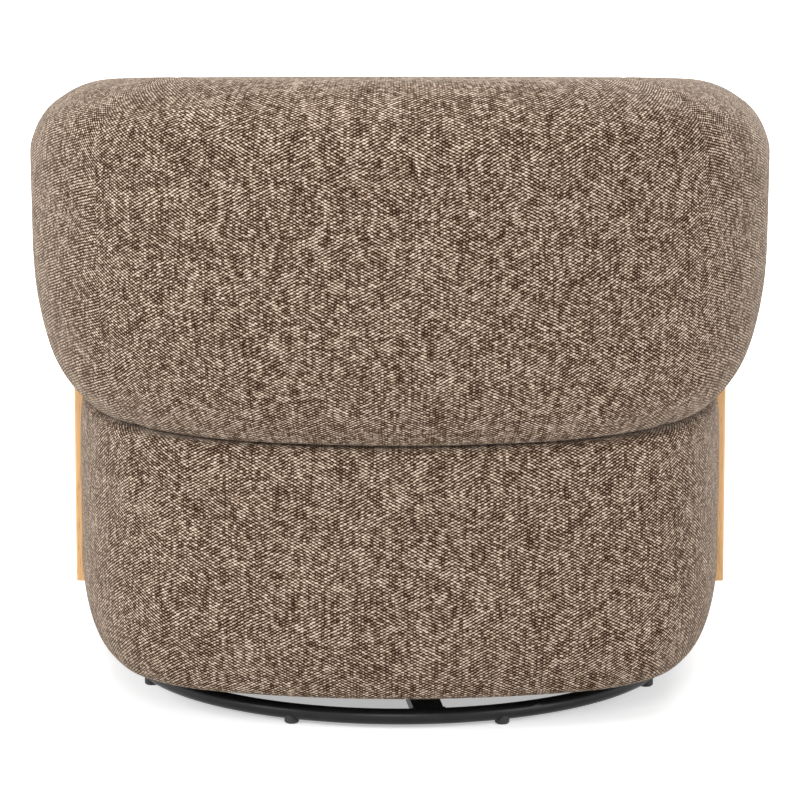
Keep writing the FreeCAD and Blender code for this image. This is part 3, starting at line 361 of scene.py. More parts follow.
# Seat webbing. Elastic belts of woven polypropylene, five from front to back and four over them,
# drawn tight across the seat ring and held at each end by three staples.
belt_weave, tree, shader, place = start_finish("elastic_webbing", sheen_weight=0.15)
rib_rate, stripe_rate = 3600, 420  # radians in each metre of belt
sideways, lengthways, _ = add(tree, "ShaderNodeSeparateXYZ", {0: place}).outputs
ribs = maths(tree, "MULTIPLY", *[maths(tree, "SINE", maths(tree, "MULTIPLY", way, rib_rate))
                                 for way in (sideways, lengthways)])
slant = maths(tree, "MULTIPLY", maths(tree, "ADD", sideways, lengthways), stripe_rate)
stripe = maths(tree, "MULTIPLY_ADD", maths(tree, "SINE", slant), 0.12, 0.5)
tinted(tree, shader, maths(tree, "MULTIPLY_ADD", ribs, 0.3, stripe),
       (0.15, (0.016, 0.013, 0.011)), (0.85, (0.1, 0.08, 0.062)))
uneven(tree, shader, ribs, 0.08, 0.72)
relief(tree, shader, ribs, 0.0002)
belt_edge = [(1.0, 0.25), (0.985, 0.0), (-0.985, 0.0), (-1.0, 0.25), (-1.0, 0.75), (-0.985, 1.0),
             (0.985, 1.0), (1.0, 0.75)]


def belt(run, level, sag):
    """A flat strap with softly rounded edges that dips a little between its ends."""
    start, end = Vector(run[0]), Vector(run[1])
    across = Vector((end.y - start.y, start.x - end.x)).normalized() * belt_breadth / 2
    rings = []
    for share in [step / 24 for step in range(25)]:
        middle = start + (end - start) * share
        dip = sag * math.sin(math.pi * share) ** 2
        rings.append([(middle.x + across.x * w, middle.y + across.y * w,
                       level + belt_thick * h - dip) for w, h in belt_edge])
    return rings


def tubes(name, strips):
    """Closed strips as one mesh: each is a list of rings of points, with its ends capped."""
    vertices, faces = [], []
    for strip in strips:
        first, around = len(vertices), len(strip[0])
        vertices += [point for ring in strip for point in ring]
        for i in range(len(strip) - 1):
            for j in range(around):
                one, two = first + i * around + j, first + i * around + (j + 1) % around
                faces.append((one, two, two + around, one + around))
        last = first + (len(strip) - 1) * around
        faces += [tuple(first + j for j in reversed(range(around))),
                  tuple(last + j for j in range(around))]
    made = mesh_of(name, vertices, faces)
    made.data.polygons.foreach_set("use_smooth", [len(face) == 4 for face in faces])
    return made


belt_low, belt_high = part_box("long_webbing")
over_low, over_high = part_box("cross_webbing")
belt_thick, belt_breadth = belt_high.z - belt_low.z, 0.05
long_step, long_rise, cross_rear, cross_step = 0.084, 0.024, 0.085, 0.1
long_runs = [((long_step * number, belt_low.y),
              (long_step * number, belt_high.y - long_rise * abs(number)))
             for number in range(-2, 3)]
cross_runs = [((over_low.x, cross_rear - cross_step * number),
               (over_high.x, cross_rear - cross_step * number)) for number in range(4)]
for label, runs, level, node, sag in (
        ("long_belts", long_runs, belt_low.z, "long_webbing", 0.0022),
        ("cross_belts", cross_runs, over_low.z, "cross_webbing", 0.002)):
    belts = tubes(label, [belt(run, level, sag) for run in runs])
    belts.data.materials.append(belt_weave)
    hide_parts(node)
    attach(belts, "chair_body")


def staple(tree, given):
    crown = add(tree, "GeometryNodeMeshCylinder",
                {"Vertices": 6, "Radius": 0.0006, "Depth": 0.009})
    return add(tree, "GeometryNodeTransform",
               {"Geometry": crown.outputs[0], "Rotation": (quarter_turn, 0, 0)}).outputs[0]


staple_inset, row_half, staple_step = 0.007, 0.018, 0.0175
staple_runs = []
for run, level in [(r, belt_high.z) for r in long_runs] + [(r, over_high.z) for r in cross_runs]:
    start, end = Vector((*run[0], level)), Vector((*run[1], level))
    way = (end - start).normalized()
    across = Vector((way.y, -way.x, 0)) * row_half
    for middle in (start + way * staple_inset, end - way * staple_inset):
        staple_runs.append([(middle - across, up), (middle + across, up)])
belt_staples = grown("belt_staples", line_of("staple_line", staple_runs),
                     spread_along("belt_staple_rows", staple, {}, zinc), {"Step": staple_step})
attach(belt_staples, "chair_body")


# Dust cover. A sheet of black non-woven cambric under the drum, with a hole for the mechanism,
# stapled to the bottom hoop and sagging very slightly between.
def swept(hub, radius, start, end, spacing):
    """Points and outward directions along an arc, a spacing apart, without its first point."""
    count = max(2, round(radius * (end - start) / spacing))
    found = []
    for step in range(1, count + 1):
        angle = start + (end - start) * step / count
        outward = Vector((math.cos(angle), math.sin(angle)))
        found.append((Vector(hub) + outward * radius, outward))
    return found


def rear_arcs(half, corner, reach, spacing):
    """The tangent arcs of a rounded square's plan, from its right side round the back to its left.

    half is to the middle of a side and reach to the middle of a corner."""
    centre = (reach - corner) / math.sqrt(2)
    span = half - corner
    back = (2 * centre ** 2 - span ** 2) / (2 * span - 2 * centre)
    wide, lean, turn = half + back, math.atan2(centre, centre + back), quarter_turn
    found = swept((-back, 0), wide, 0, lean, spacing)
    found += swept((centre, centre), corner, lean, turn - lean, spacing)
    found += swept((0, -back), wide, turn - lean, turn + lean, spacing)
    found += swept((-centre, centre), corner, turn + lean, 2 * turn - lean, spacing)
    found += swept((back, 0), wide, 2 * turn - lean, 2 * turn, spacing)
    return found


drum_half, drum_corner, drum_reach, drum_front, drum_bend = 0.348, 0.179, 0.3825, 0.366, 0.09


def drum_plan(spacing):
    """The drum's closed plan, anticlockwise from +X: points and outward directions."""
    def straight(start, end):
        start, end = Vector(start), Vector(end)
        way = (end - start).normalized()
        steps = max(2, round((end - start).length / spacing))
        return [(start + (end - start) * i / steps, Vector((way.y, -way.x)))
                for i in range(1, steps + 1)]

    half, front, bend, turn = drum_half, drum_front, drum_bend, quarter_turn
    found = rear_arcs(half, drum_corner, drum_reach, spacing)
    found += straight((-half, 0), (-half, bend - front))
    found += swept((bend - half, bend - front), bend, 2 * turn, 3 * turn, spacing)
    found += straight((bend - half, -front), (half - bend, -front))
    found += swept((half - bend, bend - front), bend, 3 * turn, 4 * turn, spacing)
    found += straight((half, bend - front), (half, 0))
    return found


cambric, tree, shader, place = start_finish("black_cambric", sheen_weight=0.1)
fibres = cloud(tree, place, 1400, 3.0)
tinted(tree, shader, fibres, (0.3, (0.008, 0.008, 0.008)), (0.75, (0.05, 0.05, 0.05)))
uneven(tree, shader, fibres, 0.1, 0.85)
relief(tree, shader, fibres, 0.0001)

dust_low, dust_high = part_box("dust_cover")
margin, cambric_thick = drum_half - dust_high.x, 0.0004
hole_half = (0.12, 0.128)
sag_depth, ripple, ripple_x, ripple_y = 0.0018, 0.3, 60, 47
sheet_rings = []
for share in (0, 0.04, 0.1, 0.2, 0.35, 0.5, 0.65, 0.8, 0.92, 1.0):
    ring = []
    for point, outward in drum_plan(0.012):
        edge = point - outward * margin
        inner = edge / max(abs(edge.x) / hole_half[0], abs(edge.y) / hole_half[1])
        at = edge.lerp(inner, share)
        wave = 1 + ripple * math.sin(at.x * ripple_x) * math.sin(at.y * ripple_y)
        dip = sag_depth * math.sin(math.pi * share) * wave
        ring.append((at.x, at.y, dust_high.z - cambric_thick - dip))
    sheet_rings.append(ring)
around = len(sheet_rings[0])
vertices = [point for ring in sheet_rings for point in ring]
faces = [(i + j, i + around + j, i + around + (j + 1) % around, i + (j + 1) % around)
         for i in range(0, len(vertices) - around, around) for j in range(around)]
dust_sheet = mesh_of("dust_sheet", vertices, faces)
dust_sheet.data.polygons.foreach_set("use_smooth", [True] * len(faces))
thicken = dust_sheet.modifiers.new("cloth_thickness", "SOLIDIFY")
thicken.thickness, thicken.offset = cambric_thick, 0
dust_sheet.data.materials.append(cambric)
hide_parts("dust_cover")
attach(dust_sheet, "chair_body")


# Drum cover. The lower body's fabric: chunky taupe chenille over 16 mm foam on the bent shell,
# pulled down over the rim, turned under and stapled to the hoop beneath.
def chenille_weave():
    """Taupe and brown chenille: fat slubs in staggered rows with dark gaps between them."""
    made, tree, shader, _ = start_finish("taupe_chenille", specular_ior_level=0.08,
                                         sheen_weight=0.25, sheen_roughness=0.3, roughness=0.95,
                                         sheen_tint=(0.86, 0.74, 0.62, 1))
    cloth = add(tree, "ShaderNodeUVMap", uv_map="weave").outputs[0]
    slub_length, slub_rise = 0.0064, 0.00342

    def vectors(operation, *values):
        return add(tree, "ShaderNodeVectorMath", dict(enumerate(values)),
                   operation=operation).outputs[0]

    def shaken(place, scale, reach):
        wander = add(tree, "ShaderNodeTexNoise", {"Vector": place, "Scale": scale, "Detail": 2.0})
        wander = vectors("SUBTRACT", wander.outputs["Color"], (0.5, 0.5, 0.5))
        return vectors("MULTIPLY_ADD", wander, (reach, reach, 0), place)

    moved = shaken(shaken(cloth, 30, 0.0035), 230, 0.0017)
    along, upward, _ = add(tree, "ShaderNodeSeparateXYZ", {0: moved}).outputs
    pick = maths(tree, "DIVIDE", along, slub_length)
    course = maths(tree, "DIVIDE", upward, slub_rise)
    rise, fall = maths(tree, "SUBTRACT", pick, course), maths(tree, "ADD", pick, course)
    ridge = maths(tree, "COSINE", maths(tree, "MULTIPLY", rise, math.tau))
    gap = maths(tree, "COSINE", maths(tree, "MULTIPLY", fall, math.tau))
    slub_id = add(tree, "ShaderNodeCombineXYZ", {0: maths(tree, "ROUND", rise),
                                                 1: maths(tree, "ROUND", fall)})
    slub = add(tree, "ShaderNodeTexWhiteNoise", {"Vector": slub_id.outputs[0]}).outputs["Value"]
    yarn = cloud(tree, cloth, 300, 3.0, (1, 0.14, 1))
    patch = cloud(tree, cloth, 60, 4.0, (1, 0.35, 1))
    twist = cloud(tree, cloth, 24, 2.0)
    fibre = cloud(tree, cloth, 2400, 2.0)
    lean = add(tree, "ShaderNodeMapRange", {"Value": twist, "From Min": 0.38, "From Max": 0.62,
                                            "To Min": 0.14, "To Max": 0.3}).outputs[0]
    woven = maths(tree, "ADD",
                  maths(tree, "MULTIPLY", ridge, maths(tree, "SUBTRACT", 0.46, lean)),
                  maths(tree, "MULTIPLY", gap, lean))
    tone = 0.455
    for source, weight in ((slub, 0.4), (yarn, 0.7), (patch, 0.32), (fibre, 0.8)):
        tone = maths(tree, "MULTIPLY_ADD", maths(tree, "SUBTRACT", source, 0.5), weight, tone)
    tinted(tree, shader, maths(tree, "ADD", tone, woven),
           (0.08, (0.012, 0.0045, 0.0015)), (0.3, (0.035, 0.0175, 0.0085)),
           (0.52, (0.118, 0.074, 0.047)), (0.76, (0.352, 0.266, 0.197)), (1.0, (0.6, 0.51, 0.425)))
    height = maths(tree, "ADD", woven, maths(tree, "MULTIPLY", fibre, 0.3))
    relief(tree, shader, height, 0.0006, 0.7)
    return made


chenille = chenille_weave()


def sewn_skin(rows, places):
    """A closed band of quads over rows of points, with its cloth places in metres for the weave.

    places has one more column than rows, because the cloth doesn't close on itself."""
    rows, places = np.asarray(rows, float), np.asarray(places, float)
    count, wide = rows.shape[:2]
    i, j = np.meshgrid(np.arange(count - 1), np.arange(wide), indexing="ij")
    i, j = i.ravel(), j.ravel()
    k = (j + 1) % wide
    faces = np.stack([i * wide + j, (i + 1) * wide + j, (i + 1) * wide + k, i * wide + k], 1)
    corners = np.stack([places[i, j], places[i + 1, j], places[i + 1, j + 1], places[i, j + 1]], 1)
    return rows.reshape(-1, 3), faces, corners


def sewn(name, vertices, faces, places):
    made = mesh_of(name, vertices, faces)
    made.data.polygons.foreach_set("use_smooth", [True] * len(made.data.polygons))
    weave = made.data.uv_layers.new(name="weave")
    weave.data.foreach_set("uv", np.concatenate([np.asarray(p, np.float32).ravel()
                                                 for p in places]))
    made.data.materials.append(chenille)
    return made


def vertex_rows(mesh, what="co"):
    """The place or normal of every vertex, one to a row."""
    found = np.empty(len(mesh.vertices) * 3)
    mesh.vertices.foreach_get(what, found)
    return found.reshape(-1, 3)


def move_vertices(mesh, points):
    mesh.vertices.foreach_set("co", points.ravel())
    mesh.update()


def filled(piece, held, pressure, sideways, upward, sink):
    """Fills a padded piece by cloth simulation. The held vertices stay sewn down, and no point
    moves further than the three reaches."""
    frames, stiffness = 20, 12.0
    rest = vertex_rows(piece.data)
    pins = piece.vertex_groups.new(name="sewn_down")
    pins.add([int(v) for v in held], 1.0, "REPLACE")
    cloth = piece.modifiers.new("filling", "CLOTH")
    cloth.settings.quality = 4
    cloth.settings.mass = 0.25
    cloth.settings.tension_stiffness = cloth.settings.compression_stiffness = stiffness
    cloth.settings.shear_stiffness = stiffness / 2
    cloth.settings.bending_stiffness = 2.0
    cloth.settings.vertex_group_mass = "sewn_down"
    cloth.settings.use_pressure = True
    cloth.settings.uniform_pressure_force = pressure
    cloth.settings.effector_weights.gravity = 0
    cloth.point_cache.frame_start, cloth.point_cache.frame_end = 1, frames
    scene = bpy.context.scene
    for step in range(1, frames + 1):
        scene.frame_set(step)
    evaluated = piece.evaluated_get(bpy.context.evaluated_depsgraph_get())
    move = vertex_rows(evaluated.data) - rest
    across = np.linalg.norm(move[:, :2], axis=1, keepdims=True)
    move[:, :2] *= np.minimum(1, sideways / np.maximum(across, 1e-9))
    move[:, 2] = np.clip(move[:, 2], -sink, upward)
    piece.modifiers.remove(cloth)
    piece.vertex_groups.remove(pins)
    move_vertices(piece.data, rest + move)
    scene.frame_set(1)


def smoothed(piece):
    finer = piece.modifiers.new("rounding", "SUBSURF")
    finer.levels = finer.render_levels = 1


def run_lengths(points):
    """Distance along a run of points, from its first."""
    steps = np.linalg.norm(np.diff(np.asarray(points, float), axis=0), axis=1)
    return np.concatenate([[0], np.cumsum(steps)])


plan = drum_plan(0.008)
rim, turn_in, turn_rise, shoulder_z, tuck, flange = 0.04, 0.026, 0.09, 0.3022, 0.012, 0.026
profile = [(0.036, rim + 0.0075), (0.0345, rim + 0.002), (0.031, rim)]
profile += [(turn_in * (1 - math.sin(a)), rim + turn_rise * (1 - math.cos(a)))
            for a in np.radians([3, 12, 22, 32, 42, 52, 62, 72, 82, 90])]
profile += [(0.0, z) for z in np.linspace(rim + turn_rise + 0.01, shoulder_z, 20)]
profile += [(tuck * (1 - math.cos(a)), shoulder_z + tuck * math.sin(a))
            for a in np.radians([18, 36, 54, 72, 88])]
profile += [(tuck + share * flange, shoulder_z + tuck) for share in (0.2, 0.5, 1)]
girth = run_lengths([(p.x, p.y) for p, _ in plan + plan[:1]])
climb = run_lengths(profile)
rows = [[(*(point - outward * inset), z) for point, outward in plan] for inset, z in profile]
places = [[(s, t) for s in girth] for t in climb]
vertices, faces, corners = sewn_skin(rows, places)
drum = sewn("drum_upholstery", vertices, faces[:, ::-1], [corners[:, ::-1]])
wide, hem_rows, top_rows = len(plan), 4, 2
held = [*range(hem_rows * wide), *range((len(profile) - top_rows) * wide, len(profile) * wide)]
filled(drum, held, pressure=1.0, sideways=0.003, upward=0.003, sink=0.003)
smoothed(drum)
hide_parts("drum_cover")
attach(drum, "chair_body")


# Cover staples. A row of fine wire staples holds the turned-under fabric and the cambric to the
# bottom hoop, about 22 mm apart all the way round.
staples_in, hoop_under = 0.0385, dust_high.z - 0.0022
row = []
for point, outward in plan + plan[:1]:
    at = point - outward * staples_in
    row.append((Vector((at.x, at.y, hoop_under)), Vector((0, 0, -1))))
cover_staples = grown("cover_staples", line_of("cover_staple_line", [row]),
                      spread_along("cover_staple_row", staple, {}, zinc), {"Step": 0.022})
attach(cover_staples, "chair_body")


# Side boards. Solid oak, 11 mm thick with eased edges, its fine straight grain upright, clear
# satin lacquer. Each is screwed to the drum from inside the shell.
oak, tree, shader, place = start_finish("natural_oak", coat_weight=0.08, coat_roughness=0.4,
                                        specular_ior_level=0.25)
lines = cloud(tree, place, 34, 3.0, (1, 1, 0.045), Distortion=0.6)
fine = cloud(tree, place, 420, 4.0, (1, 1, 0.03))
pore = cloud(tree, place, 900, 2.0, (1, 1, 0.05))
ray = cloud(tree, place, 70, 2.0, (1, 0.3, 0.5))
level = maths(tree, "MULTIPLY_ADD", fine, 0.35, maths(tree, "MULTIPLY", ray, 0.15))
level = maths(tree, "MULTIPLY_ADD", lines, 0.5, level)
grain = ramp(tree, level, (0.3, (0.5, 0.275, 0.118)), (0.48, (0.64, 0.375, 0.168)),
             (0.66, (0.74, 0.46, 0.225)))
dark_pore = ramp(tree, pore, (0.28, (0.62, 0.55, 0.48)), (0.4, (1, 1, 1)))
pored = add(tree, "ShaderNodeMix", {0: 1.0, 6: grain, 7: dark_pore}, data_type="RGBA",
            blend_type="MULTIPLY")
tree.links.new(pored.outputs[2], shader.inputs["Base Color"])
uneven(tree, shader, fine, 0.2, 0.36)
relief(tree, shader, maths(tree, "ADD", fine, pore), 0.00012)
coat(oak, "left_board", "right_board")


# Wrap-around bolster. One fat foam roll for the back and both arms, in the same chenille: a rear
# panel, a panel for each side sewn to it near the corners, and a rounded panel on each arm's end.
roll_half, roll_corner, roll_reach, roll_front, roll_wall = 0.4, 0.3, 0.424, 0.4, 0.145
roll_bottom, back_top, arm_fall, crown_in, nose = 0.297, 0.695, 0.149, 0.11, 0.046
tuck_mouth, tuck_back, tuck_open, tuck_shut, tuck_rise = 0.053, 0.084, 0.006, 0.012, 0.004
tuck_from, tuck_near, tuck_far, tuck_steps, foot_steps = 0.02, 0.042, 0.0925, 18, 5
ring_points = 132


def roll_stations(spacing):
    """Outer plan line of the roll from the right arm's nose, round the back, to the left arm's."""
    arm = roll_front - nose
    steps = round(arm / spacing)
    right = [(Vector((roll_half, -arm * (1 - i / steps))), Vector((1, 0)))
             for i in range(steps + 1)]
    left = [(Vector((-roll_half, -arm * i / steps)), Vector((-1, 0))) for i in range(1, steps + 1)]
    return right + rear_arcs(roll_half, roll_corner, roll_reach, spacing) + left


def roll_section(height):
    """The roll's upright section as (depth, level) points, evenly spaced, from the inner foot
    out under the heel, up the outside, over the crown and down the inside."""
    under, swell, heel, drop, edge, toe = 0.112, 0.19, 0.1, 0.07, 0.056, 0.018
    belly = (under ** 2 + (swell - heel) ** 2 - heel ** 2) / (2 * (under - heel))
    dome = ((crown_in - edge) ** 2 + drop ** 2 - edge ** 2) / (2 * (drop - edge))
    shoulder = roll_wall - crown_in
    lean = math.atan2(swell - heel, belly - under)
    crest = math.atan2(dome - drop, crown_in - edge)
    quarter = quarter_turn

    def bend(depth, level, radius, start, end):
        return [(depth - radius * math.cos(a), level + radius * math.sin(a))
                for a in np.linspace(start, end, 24)]

    found = [(roll_wall - toe, roll_bottom), (under, roll_bottom)]
    found += bend(under, roll_bottom + heel, heel, -quarter, -lean)
    found += bend(belly, roll_bottom + swell, belly, -lean, 0)
    found += bend(edge, height - drop, edge, 0, crest)
    found += bend(crown_in, height - dome, dome, crest, quarter)
    found += bend(crown_in, height - shoulder, shoulder, quarter, 2 * quarter)
    found += [(roll_wall, height - shoulder - share * (height - shoulder - roll_bottom - toe))
              for share in np.linspace(0, 1, 24)]
    found += bend(roll_wall - toe, roll_bottom + toe, toe, 2 * quarter, 3 * quarter)
    length = run_lengths(found)
    places = np.concatenate([
        np.linspace(0, tuck_near, foot_steps + 1),
        np.linspace(tuck_near, tuck_far, tuck_steps + 1)[1:],
        np.linspace(tuck_far, length[-1], ring_points - tuck_steps - foot_steps + 1)[1:]])
    points = np.array(found)
    depth = np.interp(places, length, points[:, 0])
    level = np.interp(places, length, points[:, 1])
    share = (np.clip((depth - tuck_mouth) / tuck_open, 0, 1)
             * np.clip((tuck_back - depth) / tuck_shut, 0, 1))
    raised = tuck_rise * share * share * (3 - 2 * share)
    level += np.where((places < tuck_far) & (places > tuck_from), raised, 0)
    return np.stack([depth, level], 1), places


def section_ring(origin, outward, shrink):
    """One ring of the roll round its plan line, and its places along the cloth."""
    crown = origin - outward * crown_in
    height = back_top - arm_fall * (roll_half - crown_in - crown.y)
    section, length = roll_section(height)
    middle = np.array([roll_wall / 2, (roll_bottom + height) / 2])
    scaled = middle + (section - middle) * shrink
    ring = [(origin.x - outward.x * depth, origin.y - outward.y * depth, level)
            for depth, level in scaled[:-1]]
    return ring, length * shrink


stations = roll_stations(0.009)
cap_turn, cap_shrink = math.radians(80), 0.24
cap_lines = []
for side in (1, -1):
    cap = []
    for angle in np.linspace(0, cap_turn, 7)[1:]:
        y = -(roll_front - nose + nose * math.sin(angle) / math.sin(cap_turn))
        cap.append((Vector((side * roll_half, y)), Vector((side, 0)),
                    1 - cap_shrink * (1 - math.cos(angle))))
    cap_lines.append(cap)
everything = cap_lines[0][::-1] + [(o, d, 1.0) for o, d in stations] + cap_lines[1]
ring_count, first_cap = len(everything), len(cap_lines[0])
travel = run_lengths([(o.x, o.y) for o, _, _ in everything])
roll_rows, roll_places = [], []
for (origin, outward, shrink), s in zip(everything, travel):
    ring, length = section_ring(origin, outward, shrink)
    roll_rows.append(ring)
    roll_places.append([(s, t) for t in length])
roll_rows = np.array(roll_rows)
centres = roll_rows.mean(1, keepdims=True)
vertices, faces, corners = sewn_skin(roll_rows, roll_places)

seam_turn, panel_turn = math.radians(50), math.radians(12)
facings = np.array([math.atan2(outward.x, outward.y) for _, outward in stations])
panel_seams = [first_cap + int(np.abs(facings - turn).argmin())
               for turn in (seam_turn, -seam_turn)]
row_of_face = faces[:, 0] // ring_points
side_panel = (row_of_face < panel_seams[0]) | (row_of_face >= panel_seams[1])
swing = np.where(row_of_face < panel_seams[0], panel_turn, -panel_turn)[:, None]
turned = np.stack([corners[..., 0] * np.cos(swing) - corners[..., 1] * np.sin(swing),
                   corners[..., 0] * np.sin(swing) + corners[..., 1] * np.cos(swing)], -1)
corners = np.where(side_panel[:, None, None], turned, corners)
vertices, all_faces = list(map(tuple, vertices)), list(map(tuple, faces))
all_places = [corners.reshape(-1, 2)]
for end, sign in ((0, 1), (ring_count - 1, -1)):
    ring, cap_faces = roll_rows[end], []
    middle = ring.mean(0)
    loop = [end * ring_points + j for j in range(ring_points)]
    for share, dome in ((0.86, 0.0018), (0.7, 0.0032), (0.5, 0.0045), (0.28, 0.0052),
                        (0.1, 0.0055)):
        fresh = [len(vertices) + j for j in range(ring_points)]
        vertices += map(tuple, middle + (ring - middle) * share + np.array([0, -dome, 0]))
        for j in range(ring_points):
            k = (j + 1) % ring_points
            cap_faces.append((loop[j], loop[k], fresh[k], fresh[j]))
        loop = fresh
    hub = len(vertices)
    vertices.append(tuple(middle + np.array([0, -0.0056, 0])))
    cap_faces += [(loop[j], loop[(j + 1) % ring_points], hub) for j in range(ring_points)]
    for face in cap_faces:
        all_faces.append(face[::sign])
        all_places.append([(sign * vertices[v][0], vertices[v][2]) for v in face[::sign]])

roll = sewn("wrap_roll", vertices, all_faces, all_places)
points = np.array(vertices)
grid = points[:ring_count * ring_points].reshape(ring_count, ring_points, 3)
inward = centres - grid
inward /= np.linalg.norm(inward, axis=2, keepdims=True)
grid += inward * np.array((0.003, 0.003, 0.0008))
move_vertices(roll.data, points)
seam_rows = [first_cap - 1, *panel_seams, ring_count - first_cap]
heel_held, foot_held = tuck_steps + 8, ring_points - 34
held = [row * ring_points + j for row in range(ring_count) for j in range(ring_points)
        if row in seam_rows or j < heel_held or j > foot_held]
filled(roll, held, pressure=14.0, sideways=0.0032, upward=0.006, sink=0.0006)

# The seams draw the filled skin in towards the middle of the roll.
seam_depth, seam_spread = 0.0018, 0.8
points = vertex_rows(roll.data)
body = points[:ring_count * ring_points].reshape(ring_count, ring_points, 3)
way = body.mean(1, keepdims=True) - body
way /= np.linalg.norm(way, axis=2, keepdims=True)
for row in seam_rows:
    steps = (np.arange(ring_count) - row) / seam_spread
    body += way * (seam_depth * np.exp(-steps ** 2))[:, None, None]
move_vertices(roll.data, points)
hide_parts("wrap_bolster")
smoothed(roll)
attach(roll, "chair_body")


# Seat cushion. A thick boxed cushion of foam with a crowned top, in the same chenille, with
# piping sewn into its top and bottom edges. It lies loose on the belts, inside the roll.
def swelled(name, node, voxel, shrink, sideways, upward, rest_below):
    """A padded piece grown from its solid: remeshed finely, shrunk a little and then filled."""
    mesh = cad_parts[node].data.copy()
    mesh.materials.clear()
    made = new_object(name, joined(mesh))
    even = made.modifiers.new("even_grid", "REMESH")
    even.mode, even.voxel_size = "VOXEL", voxel
    made = settled(name, made)
    points = vertex_rows(made.data) - vertex_rows(made.data, "normal") * shrink
    move_vertices(made.data, points)
    resting = np.nonzero(points[:, 2] < rest_below)[0]
    filled(made, resting, pressure=4.0, sideways=sideways, upward=upward, sink=0.003)
    return made


def soft_seam(piece, level, depth, spread):
    """Draws a padded piece in along a seam at one level."""
    points, normals = vertex_rows(piece.data), vertex_rows(piece.data, "normal")
    points -= normals * (depth * np.exp(-((points[:, 2] - level) / spread) ** 2))[:, None]
    move_vertices(piece.data, points)


def cloth_places(piece, hub_y, radius):
    """Lays the weave over a cushion: flat on its top and bottom, and round its sides."""
    mesh = piece.data
    mesh.materials.clear()
    mesh.materials.append(chenille)
    mesh.polygons.foreach_set("use_smooth", [True] * len(mesh.polygons))
    layer = mesh.uv_layers.new(name="weave")
    points = vertex_rows(mesh)
    for polygon in mesh.polygons:
        flat = abs(polygon.normal.z) > 0.62
        middle = math.atan2(polygon.center.x, polygon.center.y - hub_y)
        for loop in polygon.loop_indices:
            x, y, z = points[mesh.loops[loop].vertex_index]
            turn = math.atan2(x, y - hub_y)
            turn += math.tau * round((middle - turn) / math.tau)
            layer.data[loop].uv = (x, y) if flat else (turn * radius, z)


top_seam, hem_seam, cushion_hub, welt_radius = 0.399, 0.313, -0.07, 0.0032
cushion = swelled("seat_cushion_cover", "seat_cushion", voxel=0.006, shrink=0.0035,
                  sideways=0.003, upward=0.012, rest_below=0.305)
soft_seam(cushion, top_seam, depth=0.003, spread=0.004)
soft_seam(cushion, hem_seam, depth=0.002, spread=0.004)
cloth_places(cushion, cushion_hub, radius=0.29)


def girdle(piece, level, hub_y):
    """A smooth closed line round a padded piece, on its skin at one level."""
    spots, band = 180, 0.005
    points = vertex_rows(piece.data)
    points = points[np.abs(points[:, 2] - level) < band]
    turns = np.arctan2(points[:, 0], points[:, 1] - hub_y) % math.tau
    reach = np.hypot(points[:, 0], points[:, 1] - hub_y)
    bins = (turns / math.tau * spots).astype(int) % spots
    known = np.unique(bins)
    radii = [reach[bins == spot].max() for spot in known]
    radii = np.interp(np.arange(spots), known, radii, period=spots)
    for _ in range(2):
        radii = (np.roll(radii, 1) + 2 * radii + np.roll(radii, -1)) / 4
    middles = (np.arange(spots) + 0.5) * math.tau / spots
    return [Vector((r * math.sin(a), hub_y + r * math.cos(a), level))
            for r, a in zip(radii, middles)]


def piping(name, path, radius):
    """A fabric-covered welt sewn into a seam along a closed level line."""
    rows, places, travelled = [], [], 0.0
    turns = [math.tau * j / 10 for j in range(11)]
    for i in range(len(path) + 1):
        here, back, on = path[i % len(path)], path[i - 1], path[(i + 1) % len(path)]
        way = (on - back).normalized()
        side = Vector((way.y, -way.x, 0))
        travelled += (here - back).length if i else 0
        rows.append([here + radius * (side * math.cos(a) + up * math.sin(a)) for a in turns[:-1]])
        places.append([(travelled, radius * a) for a in turns])
    vertices, faces, corners = sewn_skin(rows, places)
    made = sewn(name, vertices, faces, [corners])
    joined(made.data, 1e-6, outward=True)
    return made


for name, level in (("cushion_top_piping", top_seam), ("cushion_hem_piping", hem_seam)):
    welt = piping(name, girdle(cushion, level, cushion_hub), welt_radius)
    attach(welt, "chair_body")
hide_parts("seat_cushion")
smoothed(cushion)
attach(cushion, "chair_body")


# Inside back pad. A thinner curved pad of fibre-wrapped foam on the roll's inner face, behind
# the sitter's back, in the same chenille with a sewn edge.
pad = swelled("inside_back_cover", "inside_back_pad", voxel=0.005, shrink=0.003,
              sideways=0.008, upward=0.008, rest_below=0.31)
cloth_places(pad, hub_y=0.02, radius=0.22)
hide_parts("inside_back_pad")
smoothed(pad)
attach(pad, "chair_body")


# Studio. A plain pale floor and backdrop with soft light from all round, and the camera behind
# the chair, a little above it.
def seen_rays(tree):
    """One for rays that the camera sees, straight or by gloss or glass, and nought for others."""
    eye = add(tree, "ShaderNodeLightPath").outputs
    turned = maths(tree, "MAXIMUM", eye["Is Glossy Ray"], eye["Is Transmission Ray"])
    return maths(tree, "MAXIMUM", eye["Is Camera Ray"], turned)


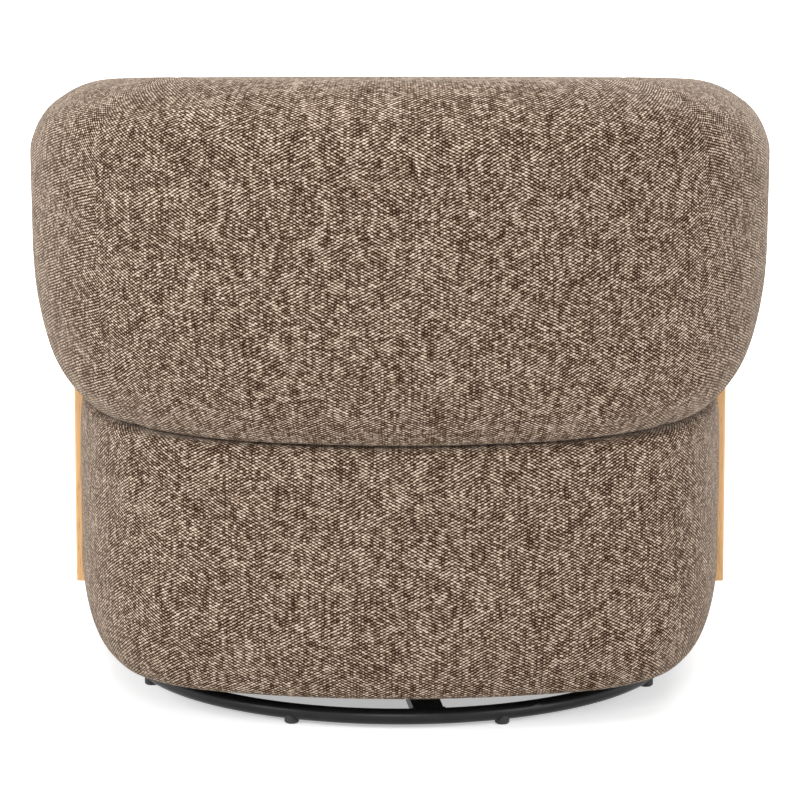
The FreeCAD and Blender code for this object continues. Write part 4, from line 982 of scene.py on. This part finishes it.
far = 30
floor = mesh_of("studio_floor", [(-far, -far, 0), (far, -far, 0), (far, far, 0), (-far, far, 0)],
                [(0, 1, 2, 3)])
pale, tree, shader, place = start_finish("pale_studio_floor", roughness=0.9,
                                         base_color=(0.86, 0.86, 0.86, 1),
                                         emission_color=(1, 1, 1, 1))
away = add(tree, "ShaderNodeVectorMath", {0: place}, operation="LENGTH").outputs["Value"]
glow = add(tree, "ShaderNodeMapRange", {"Value": away, "From Min": 1.2, "From Max": 4.0,
                                        "To Min": 0.45, "To Max": 0.85}).outputs[0]
tree.links.new(maths(tree, "MULTIPLY", seen_rays(tree), glow), shader.inputs["Emission Strength"])
floor.data.materials.append(pale)

world = bpy.data.worlds.new("soft_studio")
world.use_nodes = True
bpy.context.scene.world = world
tree, backdrop = world.node_tree, world.node_tree.nodes["Background"].inputs
backdrop["Color"].default_value = (1, 1, 1, 1)
lit = 0.43
tree.links.new(maths(tree, "MULTIPLY_ADD", seen_rays(tree), 1 - lit, lit), backdrop["Strength"])

for name, at, aim_height, breadth, power in (
        ("key_softbox", (4.2, 2.4, 2.4), 0.35, 2.4, 195),
        ("fill_softbox", (-3.8, 2.6, 1.9), 0.35, 2.4, 110),
        ("rear_softbox", (0.4, 5.4, 3.0), 0.35, 2.4, 100),
        ("front_softbox", (-1.5, -4.2, 2.8), 0.35, 2.6, 170),
        ("top_softbox", (0.4, 0, 4.2), 0.3, 3.0, 115)):
    lamp = bpy.data.lights.new(name, "AREA")
    lamp.shape, lamp.size, lamp.energy = "DISK", breadth, power
    softbox = new_object(name, lamp)
    softbox.location = at
    softbox.rotation_mode = "QUATERNION"
    aim = Vector((0, 0, aim_height)) - Vector(at)
    softbox.rotation_quaternion = aim.to_track_quat("-Z", "Y")

photo_width, focal_pixels, tilt_down = 800, 5102.5, 0.20263
view = bpy.data.cameras.new("rear_view")
view.sensor_width, view.lens = 36, 36 * focal_pixels / photo_width
view.clip_end = 60
camera = new_object("rear_view", view)
camera.location = (0, 5.5, 1.424)
camera.rotation_euler = (quarter_turn - tilt_down, 0, math.pi)
bpy.context.scene.camera = camera
bpy.context.scene.view_settings.view_transform = "Standard"
